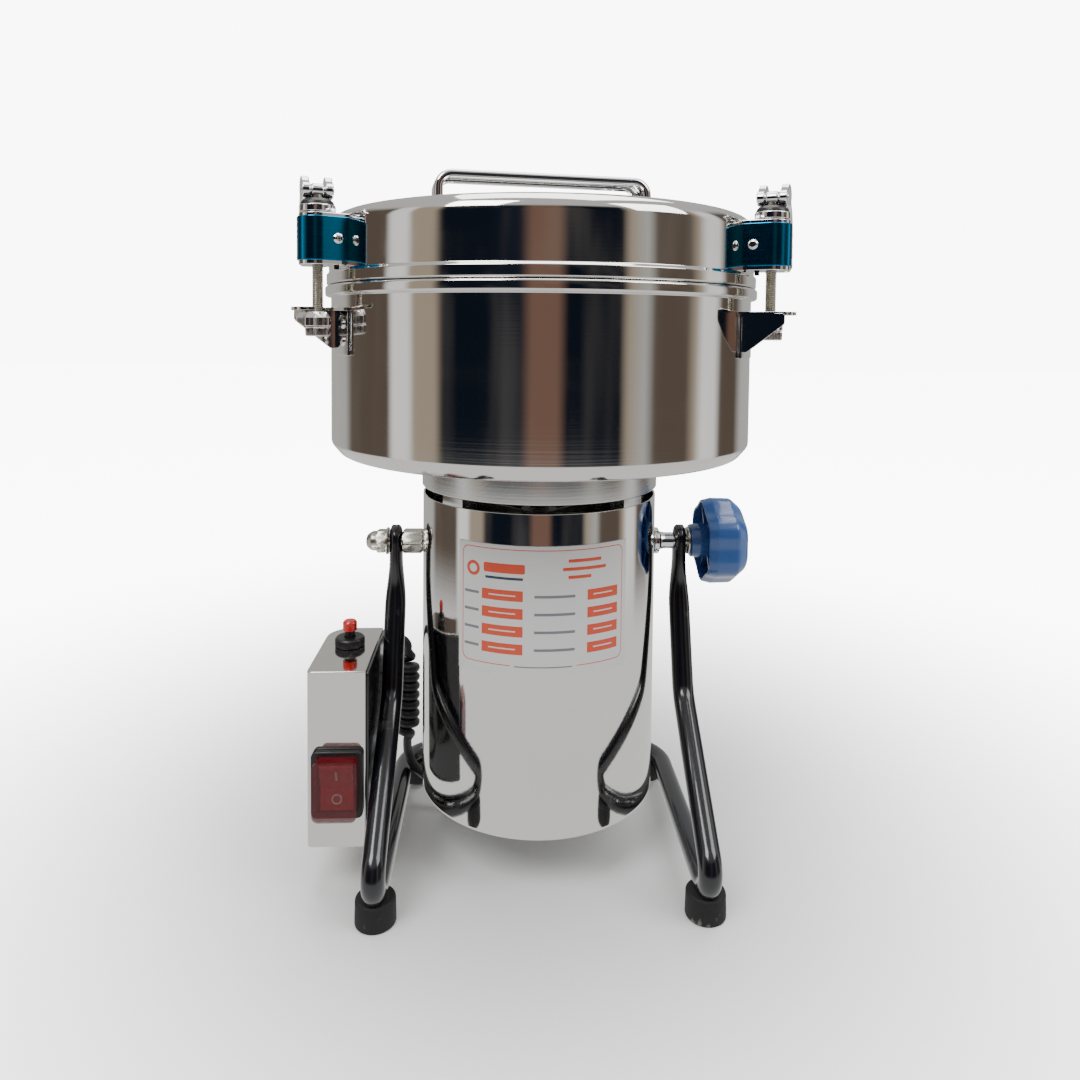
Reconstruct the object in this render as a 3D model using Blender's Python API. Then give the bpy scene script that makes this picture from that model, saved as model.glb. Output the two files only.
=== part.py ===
"""Swing-type high-speed hammer grinder: a closed bowl with blades on an upright motor, in a tilting stand.

Metres, +Z up. The bowl and the motor share one upright axis, and -Y is the front.
Every sub-part is placed from that axis; FRAME_X and FRAME_Y put the axis where the middle of the
machine's footprint is the origin, with the soles of the feet at Z = 0.
"""
import math

import bmesh
import bpy
import numpy as np
from mathutils import Matrix, Vector

MM = 0.001
GAP = 0.3 * MM                      # left between any two pieces that touch

# Driving dimensions, all from the bowl's axis and the floor
FRAME_X = -1.05 * MM                # bowl axis, from the middle of the machine's outline
FRAME_Y = -11.6 * MM
PIVOT_Z = 180 * MM                  # tilting axis
HOUSING_R = 70.4 * MM
HOUSING_BOTTOM = 34 * MM
HOUSING_TOP = 212 * MM
SHEET = 1.2 * MM                    # motor housing, lid and box sheet
NECK_R = 71.0 * MM
NECK_TOP = 237.7 * MM
BOWL_R = 123.5 * MM
BOWL_BOTTOM = 238 * MM
BOWL_WALL = 1.5 * MM
BOWL_CORNER = 12 * MM
RIM_R = 126.8 * MM
RIM_LOW = 327 * MM
RIM_TOP = 333 * MM
LID_R = 124.7 * MM
LID_BEAD_R = 126.0 * MM
LID_SHOULDER_R = 9 * MM
LID_SHOULDER_Z = 364 * MM
LID_CROWN = 2.3 * MM
CLAMP_R = 137 * MM                  # from the bowl's axis to each clamp's rod
CLAMP_TURNS = {"front_left": 210, "front_right": 330, "rear": 90}
LEVER_TURNS = {"front_left": 110, "front_right": 60, "rear": 180}
ROD_R = 3.0 * MM
SLOT_R = 4.8 * MM                   # a loose slot in each hook; the nut's cone seats on its edge
LEVER_AXIS_Z = 380 * MM
SHAFT_R = 6.0 * MM
TUBE_R = 6.3 * MM                   # stand tube
LEG_X = 87 * MM
FEET = {"front": (87 * MM, -81 * MM), "rear": (79.2 * MM, 57.7 * MM)}
BOX_LOW = (-127.5 * MM, -60 * MM, 26.5 * MM)
BOX_HIGH = (-95.7 * MM, 6 * MM, 124 * MM)
SWITCH_X = -110.5 * MM
SWITCH_Z = 63 * MM
ROCKER_TILT = math.radians(8)
BREAKER_X = -111 * MM
BREAKER_Y = -22 * MM
CORD_R = 2.8 * MM
CURL_R = 8.2 * MM
CURL_X, CURL_Y = -84 * MM, 34 * MM
CURL_HIGH, CURL_LOW = 98 * MM, 39 * MM
GLAND_BOX = (-102 * MM, 6 * MM, 112 * MM)
GLAND_MOTOR = (-46 * MM, 16 * MM, 35.2 * MM)
HANDLE_TURN = math.radians(9.5)     # the strap stands a little askew on the lid
POST_CIRCLE = 60.5 * MM             # motor's four posts

ACROSS = (0, math.pi / 2, 0)        # lays a piece made on Z along X
ROUND_BIG = 48                      # sides of large turned pieces
ROUND_MID = 24
ROUND_SMALL = 12


# Scene and materials ---------------------------------------------------------------------------

def clear_scene():
    for old in list(bpy.data.objects):
        bpy.data.objects.remove(old, do_unlink=True)


def material(name, colour, roughness, metallic=0.0, alpha=1.0):
    made = bpy.data.materials.new(name)
    made.use_nodes = True
    shader = made.node_tree.nodes["Principled BSDF"]
    shader.inputs["Base Color"].default_value = (*colour, 1.0)
    shader.inputs["Roughness"].default_value = roughness
    shader.inputs["Metallic"].default_value = metallic
    shader.inputs["Alpha"].default_value = alpha
    return made


def all_materials():
    return {
        "mirror_steel": material("mirror_steel", (0.74, 0.73, 0.70), 0.08, 1.0),
        "zinc": material("zinc", (0.50, 0.48, 0.42), 0.32, 1.0),
        "chrome": material("chrome", (0.82, 0.82, 0.83), 0.06, 1.0),
        "aluminium": material("aluminium", (0.66, 0.66, 0.66), 0.30, 1.0),
        "blue_anodised": material("blue_anodised", (0.0, 0.20, 0.42), 0.22, 1.0),
        "black_gloss": material("black_gloss", (0.008, 0.009, 0.013), 0.12),
        "rubber": material("rubber", (0.012, 0.012, 0.014), 0.75),
        "cord_rubber": material("cord_rubber", (0.010, 0.011, 0.014), 0.45),
        "black_plastic": material("black_plastic", (0.012, 0.012, 0.014), 0.35),
        "blue_plastic": material("blue_plastic", (0.06, 0.19, 0.48), 0.18),
        "red_plastic": material("red_plastic", (0.70, 0.02, 0.02), 0.25),
        "red_clear": material("red_clear", (0.25, 0.01, 0.02), 0.08, 0.0, 0.35),
        "label": material("label", (0.88, 0.88, 0.88), 0.35),
        "silicone": material("silicone", (0.80, 0.80, 0.77), 0.5),
        "copper": material("copper", (0.72, 0.32, 0.13), 0.35, 1.0),
        "iron": material("iron", (0.28, 0.28, 0.30), 0.45, 1.0),
        "brass": material("brass", (0.70, 0.52, 0.22), 0.3, 1.0),
    }


def empty(name, location, parent=None, turn=0.0):
    made = bpy.data.objects.new(name, None)
    made.location = location
    made.rotation_euler = (0, 0, turn)
    made.parent = parent
    bpy.context.scene.collection.objects.link(made)
    return made


def add_object(name, shape, look, parent, location=(0, 0, 0), rotation=(0, 0, 0), smooth=35):
    """Turn a bmesh into a named object with one material, shaded smooth up to an angle in degrees."""
    bmesh.ops.recalc_face_normals(shape, faces=shape.faces)
    mesh = bpy.data.meshes.new(name)
    shape.to_mesh(mesh)
    shape.free()
    mesh.materials.append(look)
    mesh.shade_smooth()
    mesh.set_sharp_from_angle(angle=math.radians(smooth))
    made = bpy.data.objects.new(name, mesh)
    made.location = location
    made.rotation_euler = rotation
    made.parent = parent
    bpy.context.scene.collection.objects.link(made)
    return made


def cut(target, shape, operation="DIFFERENCE", parent=None, location=(0, 0, 0), rotation=(0, 0, 0)):
    """Boolean a bmesh into the target; the cutter stays in the scene as a wire guide."""
    index = len(target.modifiers)
    guide = add_object(f"{target.name}_guide_{index}", shape, target.data.materials[0],
                       parent or target.parent, location, rotation)
    guide.hide_render = True
    guide.display_type = "WIRE"
    step = target.modifiers.new(f"{operation.lower()}_{index}", "BOOLEAN")
    step.operation = operation
    step.object = guide
    step.solver = "EXACT"


# Shapes ----------------------------------------------------------------------------------------

def turned(profile, sides=ROUND_MID, sweep=360.0, start=0.0):
    """A closed (radius, height) outline turned about Z; points with no radius become poles."""
    shape = bmesh.new()
    full = sweep >= 360.0
    count = sides if full else sides + 1
    rings = []
    for radius, height in profile:
        if radius < 1e-7:
            rings.append([shape.verts.new((0, 0, height))] * count)
            continue
        angles = [math.radians(start + sweep * i / sides) for i in range(count)]
        rings.append([shape.verts.new((radius * math.cos(a), radius * math.sin(a), height))
                      for a in angles])
    for one, other in zip(rings, rings[1:] + rings[:1]):
        for i in range(sides):
            j = (i + 1) % count
            corners = list(dict.fromkeys([one[i], one[j], other[j], other[i]]))
            if len(corners) > 2:
                shape.faces.new(corners)
    if not full:
        shape.faces.new([ring[0] for ring in rings])
        shape.faces.new([ring[-1] for ring in rings])
    return shape


def rod(radius, low, high, sides=ROUND_SMALL):
    return turned([(0, low), (radius, low), (radius, high), (0, high)], sides)


def tube(inner, outer, low, high, sides=ROUND_MID):
    return turned([(inner, low), (outer, low), (outer, high), (inner, high)], sides)


def prism(outline, low, high):
    """An (x, y) outline extruded in Z."""
    shape = bmesh.new()
    base = [shape.verts.new((x, y, low)) for x, y in outline]
    top = [shape.verts.new((x, y, high)) for x, y in outline]
    for i, corner in enumerate(base):
        j = (i + 1) % len(base)
        shape.faces.new((corner, base[j], top[j], top[i]))
    shape.faces.new(base)
    shape.faces.new(top)
    return shape


def block(low, high):
    shape = bmesh.new()
    bmesh.ops.create_cube(shape, size=1.0)
    low, high = Vector(low), Vector(high)
    for v in shape.verts:
        v.co = Vector(a + (b - a) * (c + 0.5) for a, b, c in zip(low, high, v.co))
    return shape


def joined(*shapes):
    """Several separate bodies in one bmesh."""
    whole = bmesh.new()
    for shape in shapes:
        mesh = bpy.data.meshes.new("joining")
        shape.to_mesh(mesh)
        shape.free()
        whole.from_mesh(mesh)
        bpy.data.meshes.remove(mesh)
    return whole


def moved(shape, offset=(0, 0, 0), turn=None):
    """The same bmesh, turned by a matrix and then moved by an offset."""
    if turn is not None:
        bmesh.ops.transform(shape, matrix=turn, verts=shape.verts)
    bmesh.ops.translate(shape, verts=shape.verts, vec=offset)
    return shape


def about(axis, degrees):
    return Matrix.Rotation(math.radians(degrees), 4, axis)


def arc(centre, radius, start, end, steps):
    """Points of an arc in degrees, both ends included."""
    angles = np.radians(np.linspace(start, end, steps + 1))
    return [(centre[0] + radius * math.cos(a), centre[1] + radius * math.sin(a)) for a in angles]


def rounded_rectangle(low, high, radii, steps=4):
    """A rectangle whose four corners, from low-low and anticlockwise, have their own radii."""
    (x0, y0), (x1, y1) = low, high
    a, b, c, d = radii
    return (arc((x0 + a, y0 + a), a, 180, 270, steps) + arc((x1 - b, y0 + b), b, 270, 360, steps)
            + arc((x1 - c, y1 - c), c, 0, 90, steps) + arc((x0 + d, y1 - d), d, 90, 180, steps))


def hexagon(across_flats):
    return arc((0, 0), across_flats / math.sqrt(3), 0, 300, 5)


def rounded_route(corners, radii, spacing):
    """A route of straight runs whose corners are arcs, as points about `spacing` apart."""
    corners = [Vector(c) for c in corners]
    points = [corners[0]]
    for before, corner, after, radius in zip(corners, corners[1:], corners[2:], radii):
        one, two = (before - corner).normalized(), (after - corner).normalized()
        half = one.angle(two) / 2
        reach = radius / math.tan(half)
        centre = corner + (one + two).normalized() * (radius / math.sin(half))
        start, end = corner + one * reach - centre, corner + two * reach - centre
        bend = start.angle(end)
        steps = max(2, round(bend * radius / spacing))
        axis = start.cross(end).normalized()
        points += [centre + Matrix.Rotation(bend * i / steps, 3, axis) @ start
                   for i in range(steps + 1)]
    points.append(corners[-1])
    return filled_in(points, 4 * spacing)


def filled_in(points, longest):
    """Long straight runs split so that no step is over `longest`."""
    out = [points[0]]
    for one, two in zip(points, points[1:]):
        steps = max(1, math.ceil((two - one).length / longest))
        out += [one.lerp(two, i / steps) for i in range(1, steps + 1)]
    return out


def swept(route, section, side=Vector((1, 0, 0))):
    """Carry a section along a route without twist.

    `section(i)` gives the (across, along-normal) points at route point i; `side` is the first
    direction of "across".
    """
    shape = bmesh.new()
    route = [Vector(p) for p in route]
    rings, across = [], Vector(side)
    for i, point in enumerate(route):
        ahead = (route[min(i + 1, len(route) - 1)] - route[max(i - 1, 0)]).normalized()
        across = (across - ahead * across.dot(ahead)).normalized()
        normal = ahead.cross(across)
        rings.append([shape.verts.new(point + across * u + normal * v) for u, v in section(i)])
    for one, two in zip(rings, rings[1:]):
        for i in range(len(one)):
            j = (i + 1) % len(one)
            shape.faces.new((one[i], one[j], two[j], two[i]))
    shape.faces.new(rings[0])
    shape.faces.new(rings[-1])
    return shape


def smooth_route(points, steps):
    """A Catmull-Rom curve through the points, `steps` to each span."""
    points = [Vector(p) for p in points]
    ends = [2 * points[0] - points[1]] + points + [2 * points[-1] - points[-2]]
    out = []
    for a, b, c, d in zip(ends, ends[1:], ends[2:], ends[3:]):
        for i in range(steps):
            t = i / steps
            out.append(0.5 * (2 * b + (c - a) * t + (2 * a - 5 * b + 4 * c - d) * t ** 2
                              + (3 * b - a - 3 * c + d) * t ** 3))
    return out + [points[-1]]


def on_circle(radius, count, make, first=0.0):
    """`count` copies of a bmesh on a circle about Z, from `first` degrees; make() gives one at +X."""
    return joined(*[moved(moved(make(), (radius, 0, 0)), turn=about("Z", first + 360 * i / count))
                    for i in range(count)])


# Stand -----------------------------------------------------------------------------------------

def stand_route():
    """Down the left leg, round its foot, back along the floor, across, and up the right leg."""
    left = [(-LEG_X, 0, 190 * MM), (-LEG_X, 0, 152 * MM), (-LEG_X, -19 * MM, 92 * MM),
            (-LEG_X, -109 * MM, 16 * MM), (-LEG_X, 65 * MM, 16 * MM)]
    right = [(-x, y, z) for x, y, z in reversed(left)]
    bends = [60 * MM, 25 * MM, 11 * MM, 25 * MM]
    return rounded_route(left + right, bends + bends[::-1], 8 * MM)


def stand_section(route, sides=12):
    """Round tube, pressed to an 8 mm thick blade with a round end where it takes the pivot."""
    flat, high, blend = 4.0 * MM, 8.3 * MM, 30 * MM
    def section(i):
        depth = 190 * MM - route[i].z
        pressed = 1 - min(max((depth - 20 * MM) / blend, 0), 1)
        pressed = pressed * pressed * (3 - 2 * pressed)
        u = TUBE_R + (flat - TUBE_R) * pressed
        v = TUBE_R + (high - TUBE_R) * pressed
        if depth < high:
            v *= math.sqrt(max(0.12, 1 - (1 - depth / high) ** 2))
        return [(u * math.cos(a), v * math.sin(a))
                for a in (2 * math.pi * (k + 0.5) / sides for k in range(sides))]
    return section


def build_stand(base, looks):
    route = stand_route()
    route = ([Vector((-LEG_X, 0, z * MM)) for z in (190, 188.6, 186)] + route[1:-1]
             + [Vector((LEG_X, 0, z * MM)) for z in (186, 188.6, 190)])
    frame = add_object("stand_tube", swept(route, stand_section(route)), looks["black_gloss"], base)
    cut(frame, rod(4.4 * MM, -110 * MM, 110 * MM), location=(0, 0, PIVOT_Z), rotation=ACROSS)

    sole = [(4.6 * MM, 0), (10.2 * MM, 0), (10.9 * MM, 1 * MM), (10.4 * MM, 13 * MM),
            (9.6 * MM, 14 * MM), (0, 14 * MM), (0, 4.2 * MM), (4.6 * MM, 4.2 * MM)]
    sides = 12
    clear = (TUBE_R + GAP) / math.cos(math.pi / sides)
    ring = [(clear * math.cos(a), clear * math.sin(a)) for a in np.arange(sides) * 2 * math.pi / sides]
    for end, (x, y) in FEET.items():
        for hand, side in (("left", -1), ("right", 1)):
            foot = add_object(f"rubber_foot_{end}_{hand}", turned(sole, 16), looks["rubber"], base,
                              (side * x, y, 0))
            cut(foot, swept(stand_route()[6:-6], lambda i: ring))


# Control box on the left leg ---------------------------------------------------------------------

def build_control_box(base, looks):
    (x0, y0, z0), (x1, y1, z1) = BOX_LOW, BOX_HIGH
    outline = rounded_rectangle((x0, y0), (x1, y1), (3 * MM, 0.3 * MM, 0.3 * MM, 14 * MM), 5)
    inner = rounded_rectangle((x0 + SHEET, y0 + SHEET), (x1 + 5 * MM, y1 - SHEET),
                              (1.8 * MM, 0.2 * MM, 0.2 * MM, 12.8 * MM), 5)
    shell = add_object("control_box_shell", prism(outline, z0, z1), looks["mirror_steel"], base)
    cut(shell, prism(inner, z0 + SHEET, z1 - SHEET))
    cut(shell, block((SWITCH_X - 11.4 * MM, y0 - 5 * MM, SWITCH_Z - 15.6 * MM),
                     (SWITCH_X + 11.4 * MM, y0 + 5 * MM, SWITCH_Z + 15.6 * MM)))
    cut(shell, rod(5.6 * MM, z1 - 5 * MM, z1 + 5 * MM, 20), location=(BREAKER_X, BREAKER_Y, 0))
    cut(shell, rod(4.4 * MM, -5 * MM, 5 * MM, 16), location=GLAND_BOX, rotation=(-math.pi / 2, 0, 0))

    low, high = (y0 + 0.4 * MM, z0 + 0.4 * MM), (y1 - 0.4 * MM, z1 - 0.4 * MM)
    face = rounded_rectangle(low, high, (2 * MM,) * 4, 3)
    panel = prism([(-z, y) for y, z in face], x1 + GAP, x1 + 1.6 * MM)
    add_object("control_box_cover", panel, looks["black_gloss"], base, rotation=ACROSS)


def build_switch(base, looks):
    front = BOX_LOW[1] - GAP
    spot = (SWITCH_X, front, SWITCH_Z)

    def frame(half_x, half_z, radius, near, far):
        outline = rounded_rectangle((-half_x, -half_z), (half_x, half_z), (radius,) * 4, 3)
        return moved(prism(outline, near, far), turn=about("X", 90))

    body = add_object("switch_body", frame(13.9 * MM, 18.3 * MM, 3 * MM, 0, 3.4 * MM),
                      looks["black_plastic"], base, spot)
    cut(body, frame(11 * MM, 15.2 * MM, 1 * MM, -19 * MM, 1 * MM), "UNION", location=spot)
    cut(body, frame(10.3 * MM, 14.4 * MM, 1 * MM, -12 * MM, 5 * MM), location=spot)

    cover = add_object("switch_cover", frame(11.9 * MM, 16.2 * MM, 3.5 * MM, 3.7 * MM, 11 * MM),
                       looks["red_clear"], base, spot)
    cut(cover, frame(10.9 * MM, 15.2 * MM, 2.6 * MM, 3 * MM, 10 * MM), location=spot)

    hinge = empty("switch_hinge", (SWITCH_X, front + 3 * MM, SWITCH_Z), base)
    side = [(-7.4 * MM, 12.6 * MM), (-7.9 * MM, 12.9 * MM), (-5.4 * MM, 0), (-7.9 * MM, -12.9 * MM),
            (-7.4 * MM, -13.1 * MM), (2 * MM, -9 * MM), (4 * MM, -3 * MM), (4 * MM, 3 * MM),
            (2 * MM, 9 * MM), (-7.0 * MM, 13.1 * MM)]
    sideways = Matrix(((0, 0, 1, 0), (1, 0, 0, 0), (0, 1, 0, 0), (0, 0, 0, 1)))
    wedge = moved(prism(side, -8.9 * MM, 8.9 * MM), turn=sideways)
    add_object("switch_rocker", wedge, looks["red_plastic"], hinge, rotation=(ROCKER_TILT, 0, 0))

    # Motor breaker: threaded barrel through the top of the box, with its press-to-reset plunger.
    top = BOX_HIGH[2]
    breaker = add_object("circuit_breaker", turned(
        [(3.3 * MM, -14 * MM), (5.2 * MM, -14 * MM), (5.2 * MM, GAP), (8.5 * MM, GAP),
         (8.5 * MM, 4.2 * MM), (7.6 * MM, 5.2 * MM), (3.3 * MM, 5.2 * MM)], 24),
        looks["black_plastic"], base, (BREAKER_X, BREAKER_Y, top))
    cut(breaker, block((-7 * MM, -10 * MM, -31 * MM), (7 * MM, 10 * MM, -13.5 * MM)), "UNION",
        location=(BREAKER_X, BREAKER_Y, top))
    plunger = empty("reset_slide", (BREAKER_X, BREAKER_Y, top + 9 * MM), base)
    add_object("reset_button", turned(
        [(0, -18.5 * MM), (2.9 * MM, -18.5 * MM), (2.9 * MM, 0), (4.1 * MM, 0), (4.1 * MM, 4.6 * MM),
         (3.2 * MM, 5.8 * MM), (0, 6 * MM)], 20), looks["red_plastic"], plunger)


def build_cord(base, head, looks):
    """The short curly lead from the box to the motor, and a gland at each end."""
    gx, gy, gz = GLAND_BOX
    gland = [(3.1 * MM, -6 * MM), (4.1 * MM, -6 * MM), (4.1 * MM, GAP), (6.2 * MM, GAP),
             (6.2 * MM, 3.6 * MM), (4.6 * MM, 4.4 * MM), (3.9 * MM, 11 * MM), (3.1 * MM, 11 * MM)]
    add_object("cord_gland_box", turned(gland, 12), looks["black_plastic"], base, GLAND_BOX,
               (-math.pi / 2, 0, 0))
    add_object("cord_gland_motor", turned(gland, 12), looks["black_plastic"], head, GLAND_MOTOR,
               (math.pi, 0, 0))

    out = gy + 11.3 * MM
    upper = [(gx, out, gz), (gx, out + 5 * MM, gz), (gx + 2 * MM, out + 11 * MM, gz - 0.8 * MM),
             (gx + 8 * MM, CURL_Y - 1.2 * MM, gz - 2.6 * MM), (CURL_X - 3 * MM, CURL_Y, gz - 6.5 * MM),
             (CURL_X, CURL_Y, CURL_HIGH + 4 * MM), (CURL_X, CURL_Y, CURL_HIGH + GAP)]
    mx, my, mz = GLAND_MOTOR
    mz -= 11.3 * MM
    lower = [(CURL_X, CURL_Y, CURL_LOW - GAP), (CURL_X, CURL_Y, CURL_LOW - 4 * MM),
             (CURL_X + 0.8 * MM, CURL_Y - 0.4 * MM, 29 * MM),
             (CURL_X + 5 * MM, CURL_Y - 2.6 * MM, 22 * MM), (-70 * MM, 27.5 * MM, 16.5 * MM),
             (-59 * MM, 22.2 * MM, 13.5 * MM), (mx - 4 * MM, my + 2 * MM, 15.5 * MM),
             (mx, my, 19.5 * MM), (mx, my, mz)]
    for name, points in (("cord_tail_box", upper), ("cord_tail_motor", lower)):
        curve = bpy.data.curves.new(name, "CURVE")
        curve.dimensions = "3D"
        curve.bevel_depth = CORD_R
        curve.bevel_resolution = 2
        curve.use_fill_caps = True
        route = smooth_route(points, 2)
        line = curve.splines.new("POLY")
        line.points.add(len(route) - 1)
        line.points.foreach_set("co", [c for p in route for c in (*p, 1.0)])
        curve.materials.append(looks["cord_rubber"])
        lead = bpy.data.objects.new(name, curve)
        lead.parent = base
        bpy.context.scene.collection.objects.link(lead)
    add_object("cord_coil", rod(CURL_R, CURL_LOW, CURL_HIGH, 16), looks["cord_rubber"], base,
               (CURL_X, CURL_Y, 0))


# Tilting head: motor ---------------------------------------------------------------------------

def build_motor(head, looks):
    inner = HOUSING_R - SHEET
    low, high = HOUSING_BOTTOM, HOUSING_TOP
    housing = add_object("motor_housing", turned(
        [(64 * MM, low), (HOUSING_R - 2 * MM, low), (HOUSING_R - 0.6 * MM, low + 0.6 * MM),
         (HOUSING_R, low + 2 * MM), (HOUSING_R, high), (inner, high), (inner, low + SHEET),
         (64 * MM, low + SHEET)], ROUND_BIG), looks["mirror_steel"], head)
    cut(housing, rod(4.3 * MM, -80 * MM, 80 * MM), location=(0, 0, PIVOT_Z), rotation=ACROSS)

    deck = low + SHEET + GAP
    cover = add_object("motor_bottom_cover", rod(inner - GAP, deck, deck + 1.6 * MM, ROUND_BIG),
                       looks["aluminium"], head)
    slot = [(26 * MM, deck - 2 * MM), (38 * MM, deck - 2 * MM), (38 * MM, deck + 4 * MM),
            (26 * MM, deck + 4 * MM)]
    cut(cover, on_circle(0, 6, lambda: turned(slot, 3, 34, 13)))
    cut(cover, moved(rod(4.4 * MM, 0, 45 * MM, 16), (GLAND_MOTOR[0], GLAND_MOTOR[1], 0)))

    # Cast upper bracket: the bright ring under the bowl, its air slots, the bearing seat and posts.
    web, seat = 231 * MM, 221 * MM
    bracket = add_object("motor_upper_bracket", turned(
        [(66 * MM, 205 * MM), (inner - GAP, 205 * MM), (inner - GAP, high + GAP), (NECK_R, high + GAP),
         (NECK_R, NECK_TOP), (9 * MM, NECK_TOP), (9 * MM, web + 1 * MM), (16.1 * MM, web + 1 * MM),
         (16.1 * MM, seat), (20 * MM, seat), (20 * MM, web), (66 * MM, web)], ROUND_BIG),
        looks["aluminium"], head)
    cut(bracket, on_circle(POST_CIRCLE, 4, lambda: rod(4.8 * MM, 148.5 * MM, 233 * MM, 8), 45),
        "UNION")
    slot = [(60 * MM, 211 * MM), (80 * MM, 211 * MM), (80 * MM, 216.7 * MM), (60 * MM, 216.7 * MM)]
    cut(bracket, on_circle(0, 4, lambda: turned(slot, 8, 77, -38.5)))

    # Lower bracket: a ring with four bars, the lower bearing seat, and four posts under the stator.
    lower = add_object("motor_lower_bracket", turned(
        [(9 * MM, 44 * MM), (66 * MM, 44 * MM), (66 * MM, 49 * MM), (19 * MM, 49 * MM),
         (19 * MM, 59 * MM), (15.3 * MM, 59 * MM), (15.3 * MM, 50 * MM), (9 * MM, 50 * MM)]),
        looks["aluminium"], head)
    cut(lower, on_circle(POST_CIRCLE, 4, lambda: rod(4.8 * MM, 46 * MM, 81.7 * MM, 8), 45), "UNION")
    vent = [(24 * MM, 40 * MM), (52 * MM, 40 * MM), (52 * MM, 53 * MM), (24 * MM, 53 * MM)]
    cut(lower, on_circle(0, 4, lambda: turned(vent, 6, 48, -24), 45))

    stator = add_object("stator_core", tube(30.7 * MM, 54 * MM, 82 * MM, 148.2 * MM),
                        looks["iron"], head)
    cut(stator, on_circle(57 * MM, 4, lambda: block((-6 * MM, -6 * MM, 82 * MM),
                                                    (8.5 * MM, 6 * MM, 148.2 * MM)), 45), "UNION")
    for name, bottom, top in (("lower", 70 * MM, 81.7 * MM), ("upper", 148.5 * MM, 161 * MM)):
        middle, half = (bottom + top) / 2, (top - bottom) / 2
        coil = [(40 * MM + 7 * MM * c, middle + half * s) for c, s in arc((0, 0), 1, 0, 315, 7)]
        add_object(f"field_winding_{name}", turned(coil), looks["copper"], head)

    add_object("motor_bearing_lower", tube(SHAFT_R + GAP, 15 * MM, 50.3 * MM, 58.8 * MM),
               looks["chrome"], head)
    add_object("motor_bearing_upper", tube(SHAFT_R + GAP, 15.8 * MM, 221.3 * MM, 231.7 * MM),
               looks["chrome"], head)

    # Brush gear: an insulating ring over the lower bracket, with two holders and their brushes.
    gear = add_object("brush_gear", tube(36 * MM, 45 * MM, 60 * MM, 64 * MM), looks["brass"], head)
    cut(gear, on_circle(0, 2, lambda: block((19.3 * MM, -6.5 * MM, 60.2 * MM),
                                            (44 * MM, 6.5 * MM, 69.5 * MM)), 90), "UNION")
    cut(gear, on_circle(0, 2, lambda: block((16.4 * MM, -3.4 * MM, 63 * MM),
                                            (22 * MM, 3.4 * MM, 67.5 * MM)), 90), "UNION")

    wrap, low, high = HOUSING_R + GAP, 125 * MM, 195 * MM
    plate = turned([(wrap, low), (wrap + 0.4 * MM, low), (wrap + 0.4 * MM, high), (wrap, high)],
                   16, 80, -130)
    add_object("rating_label", plate, looks["label"], head)


def build_pivots(head, looks):
    """Left: hex standoff, stud and acorn nut. Right: spindle with a collar, which the knob locks."""
    at = (0, 0, PIVOT_Z)
    wall = HOUSING_R + GAP
    leg_in, leg_out = LEG_X - 4 * MM - GAP, LEG_X + 4 * MM + GAP
    left = add_object("pivot_standoff_left", prism(hexagon(13.5 * MM), -leg_in, -wall),
                      looks["zinc"], head, at, ACROSS)
    cut(left, rod(3.9 * MM, -100 * MM, -60 * MM), "UNION", location=at, rotation=ACROSS)
    spindle = turned([(0, 60 * MM), (3.9 * MM, 60 * MM), (3.9 * MM, wall), (8 * MM, wall),
                      (8 * MM, wall + 3 * MM), (5 * MM, wall + 3.4 * MM), (5 * MM, leg_in),
                      (3.9 * MM, leg_in), (3.9 * MM, 103 * MM), (0, 103 * MM)], 20)
    add_object("pivot_spindle_right", spindle, looks["zinc"], head, at, ACROSS)

    start = leg_out + 1.7 * MM
    acorn = add_object("pivot_acorn_nut", prism(hexagon(13 * MM), -start - 5.5 * MM, -start),
                       looks["zinc"], head, at, ACROSS)
    dome = turned([(0, -start - 12 * MM), (2.6 * MM, -start - 11.4 * MM),
                   (4.8 * MM, -start - 9.4 * MM), (6 * MM, -start - 5 * MM),
                   (6 * MM, -start - 3 * MM), (0, -start - 3 * MM)], 16)
    cut(acorn, dome, "UNION", location=at, rotation=ACROSS)
    cut(acorn, rod(4.2 * MM, -101 * MM, -80 * MM), location=at, rotation=ACROSS)


def build_knob(head, looks):
    """Six-lobed knob, cored out from the back; it nips the right leg against the spindle."""
    hinge = empty("knob_hinge", (0, 0, PIVOT_Z), head)
    lobes, middle, wave = 6, 25.2 * MM, 1.3 * MM
    near, back, face = LEG_X + 6.2 * MM, 100.5 * MM, 126 * MM

    def lobed(scale, sides=36):
        angles = [2 * math.pi * k / sides for k in range(sides)]
        reach = [(middle + wave * math.cos(lobes * a)) * scale for a in angles]
        return [(r * math.cos(a), r * math.sin(a)) for r, a in zip(reach, angles)]

    levels = ((back, 0.94), (back + 2 * MM, 1.0), (face - 9 * MM, 0.99), (face - 3 * MM, 0.90),
              (face - 0.7 * MM, 0.74), (face, 0.5))
    shape = bmesh.new()
    rings = [[shape.verts.new((x, y, height)) for x, y in lobed(scale)] for height, scale in levels]
    for one, two in zip(rings, rings[1:]):
        for i in range(len(one)):
            j = (i + 1) % len(one)
            shape.faces.new((one[i], one[j], two[j], two[i]))
    shape.faces.new(rings[0])
    shape.faces.new(rings[-1])
    knob = add_object("tilt_knob", shape, looks["blue_plastic"], hinge, rotation=ACROSS)
    cut(knob, tube(11.5 * MM, 22 * MM, back - 5 * MM, face - 7 * MM, 24), rotation=ACROSS)
    cut(knob, turned([(0, near), (9.6 * MM, near), (10.4 * MM, near + 5 * MM),
                      (10.4 * MM, back + 5 * MM), (0, back + 5 * MM)], 20), "UNION", rotation=ACROSS)
    cut(knob, rod(4.2 * MM, 80 * MM, 106 * MM), rotation=ACROSS)


# Bowl, its hooks and its seal --------------------------------------------------------------------

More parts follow.
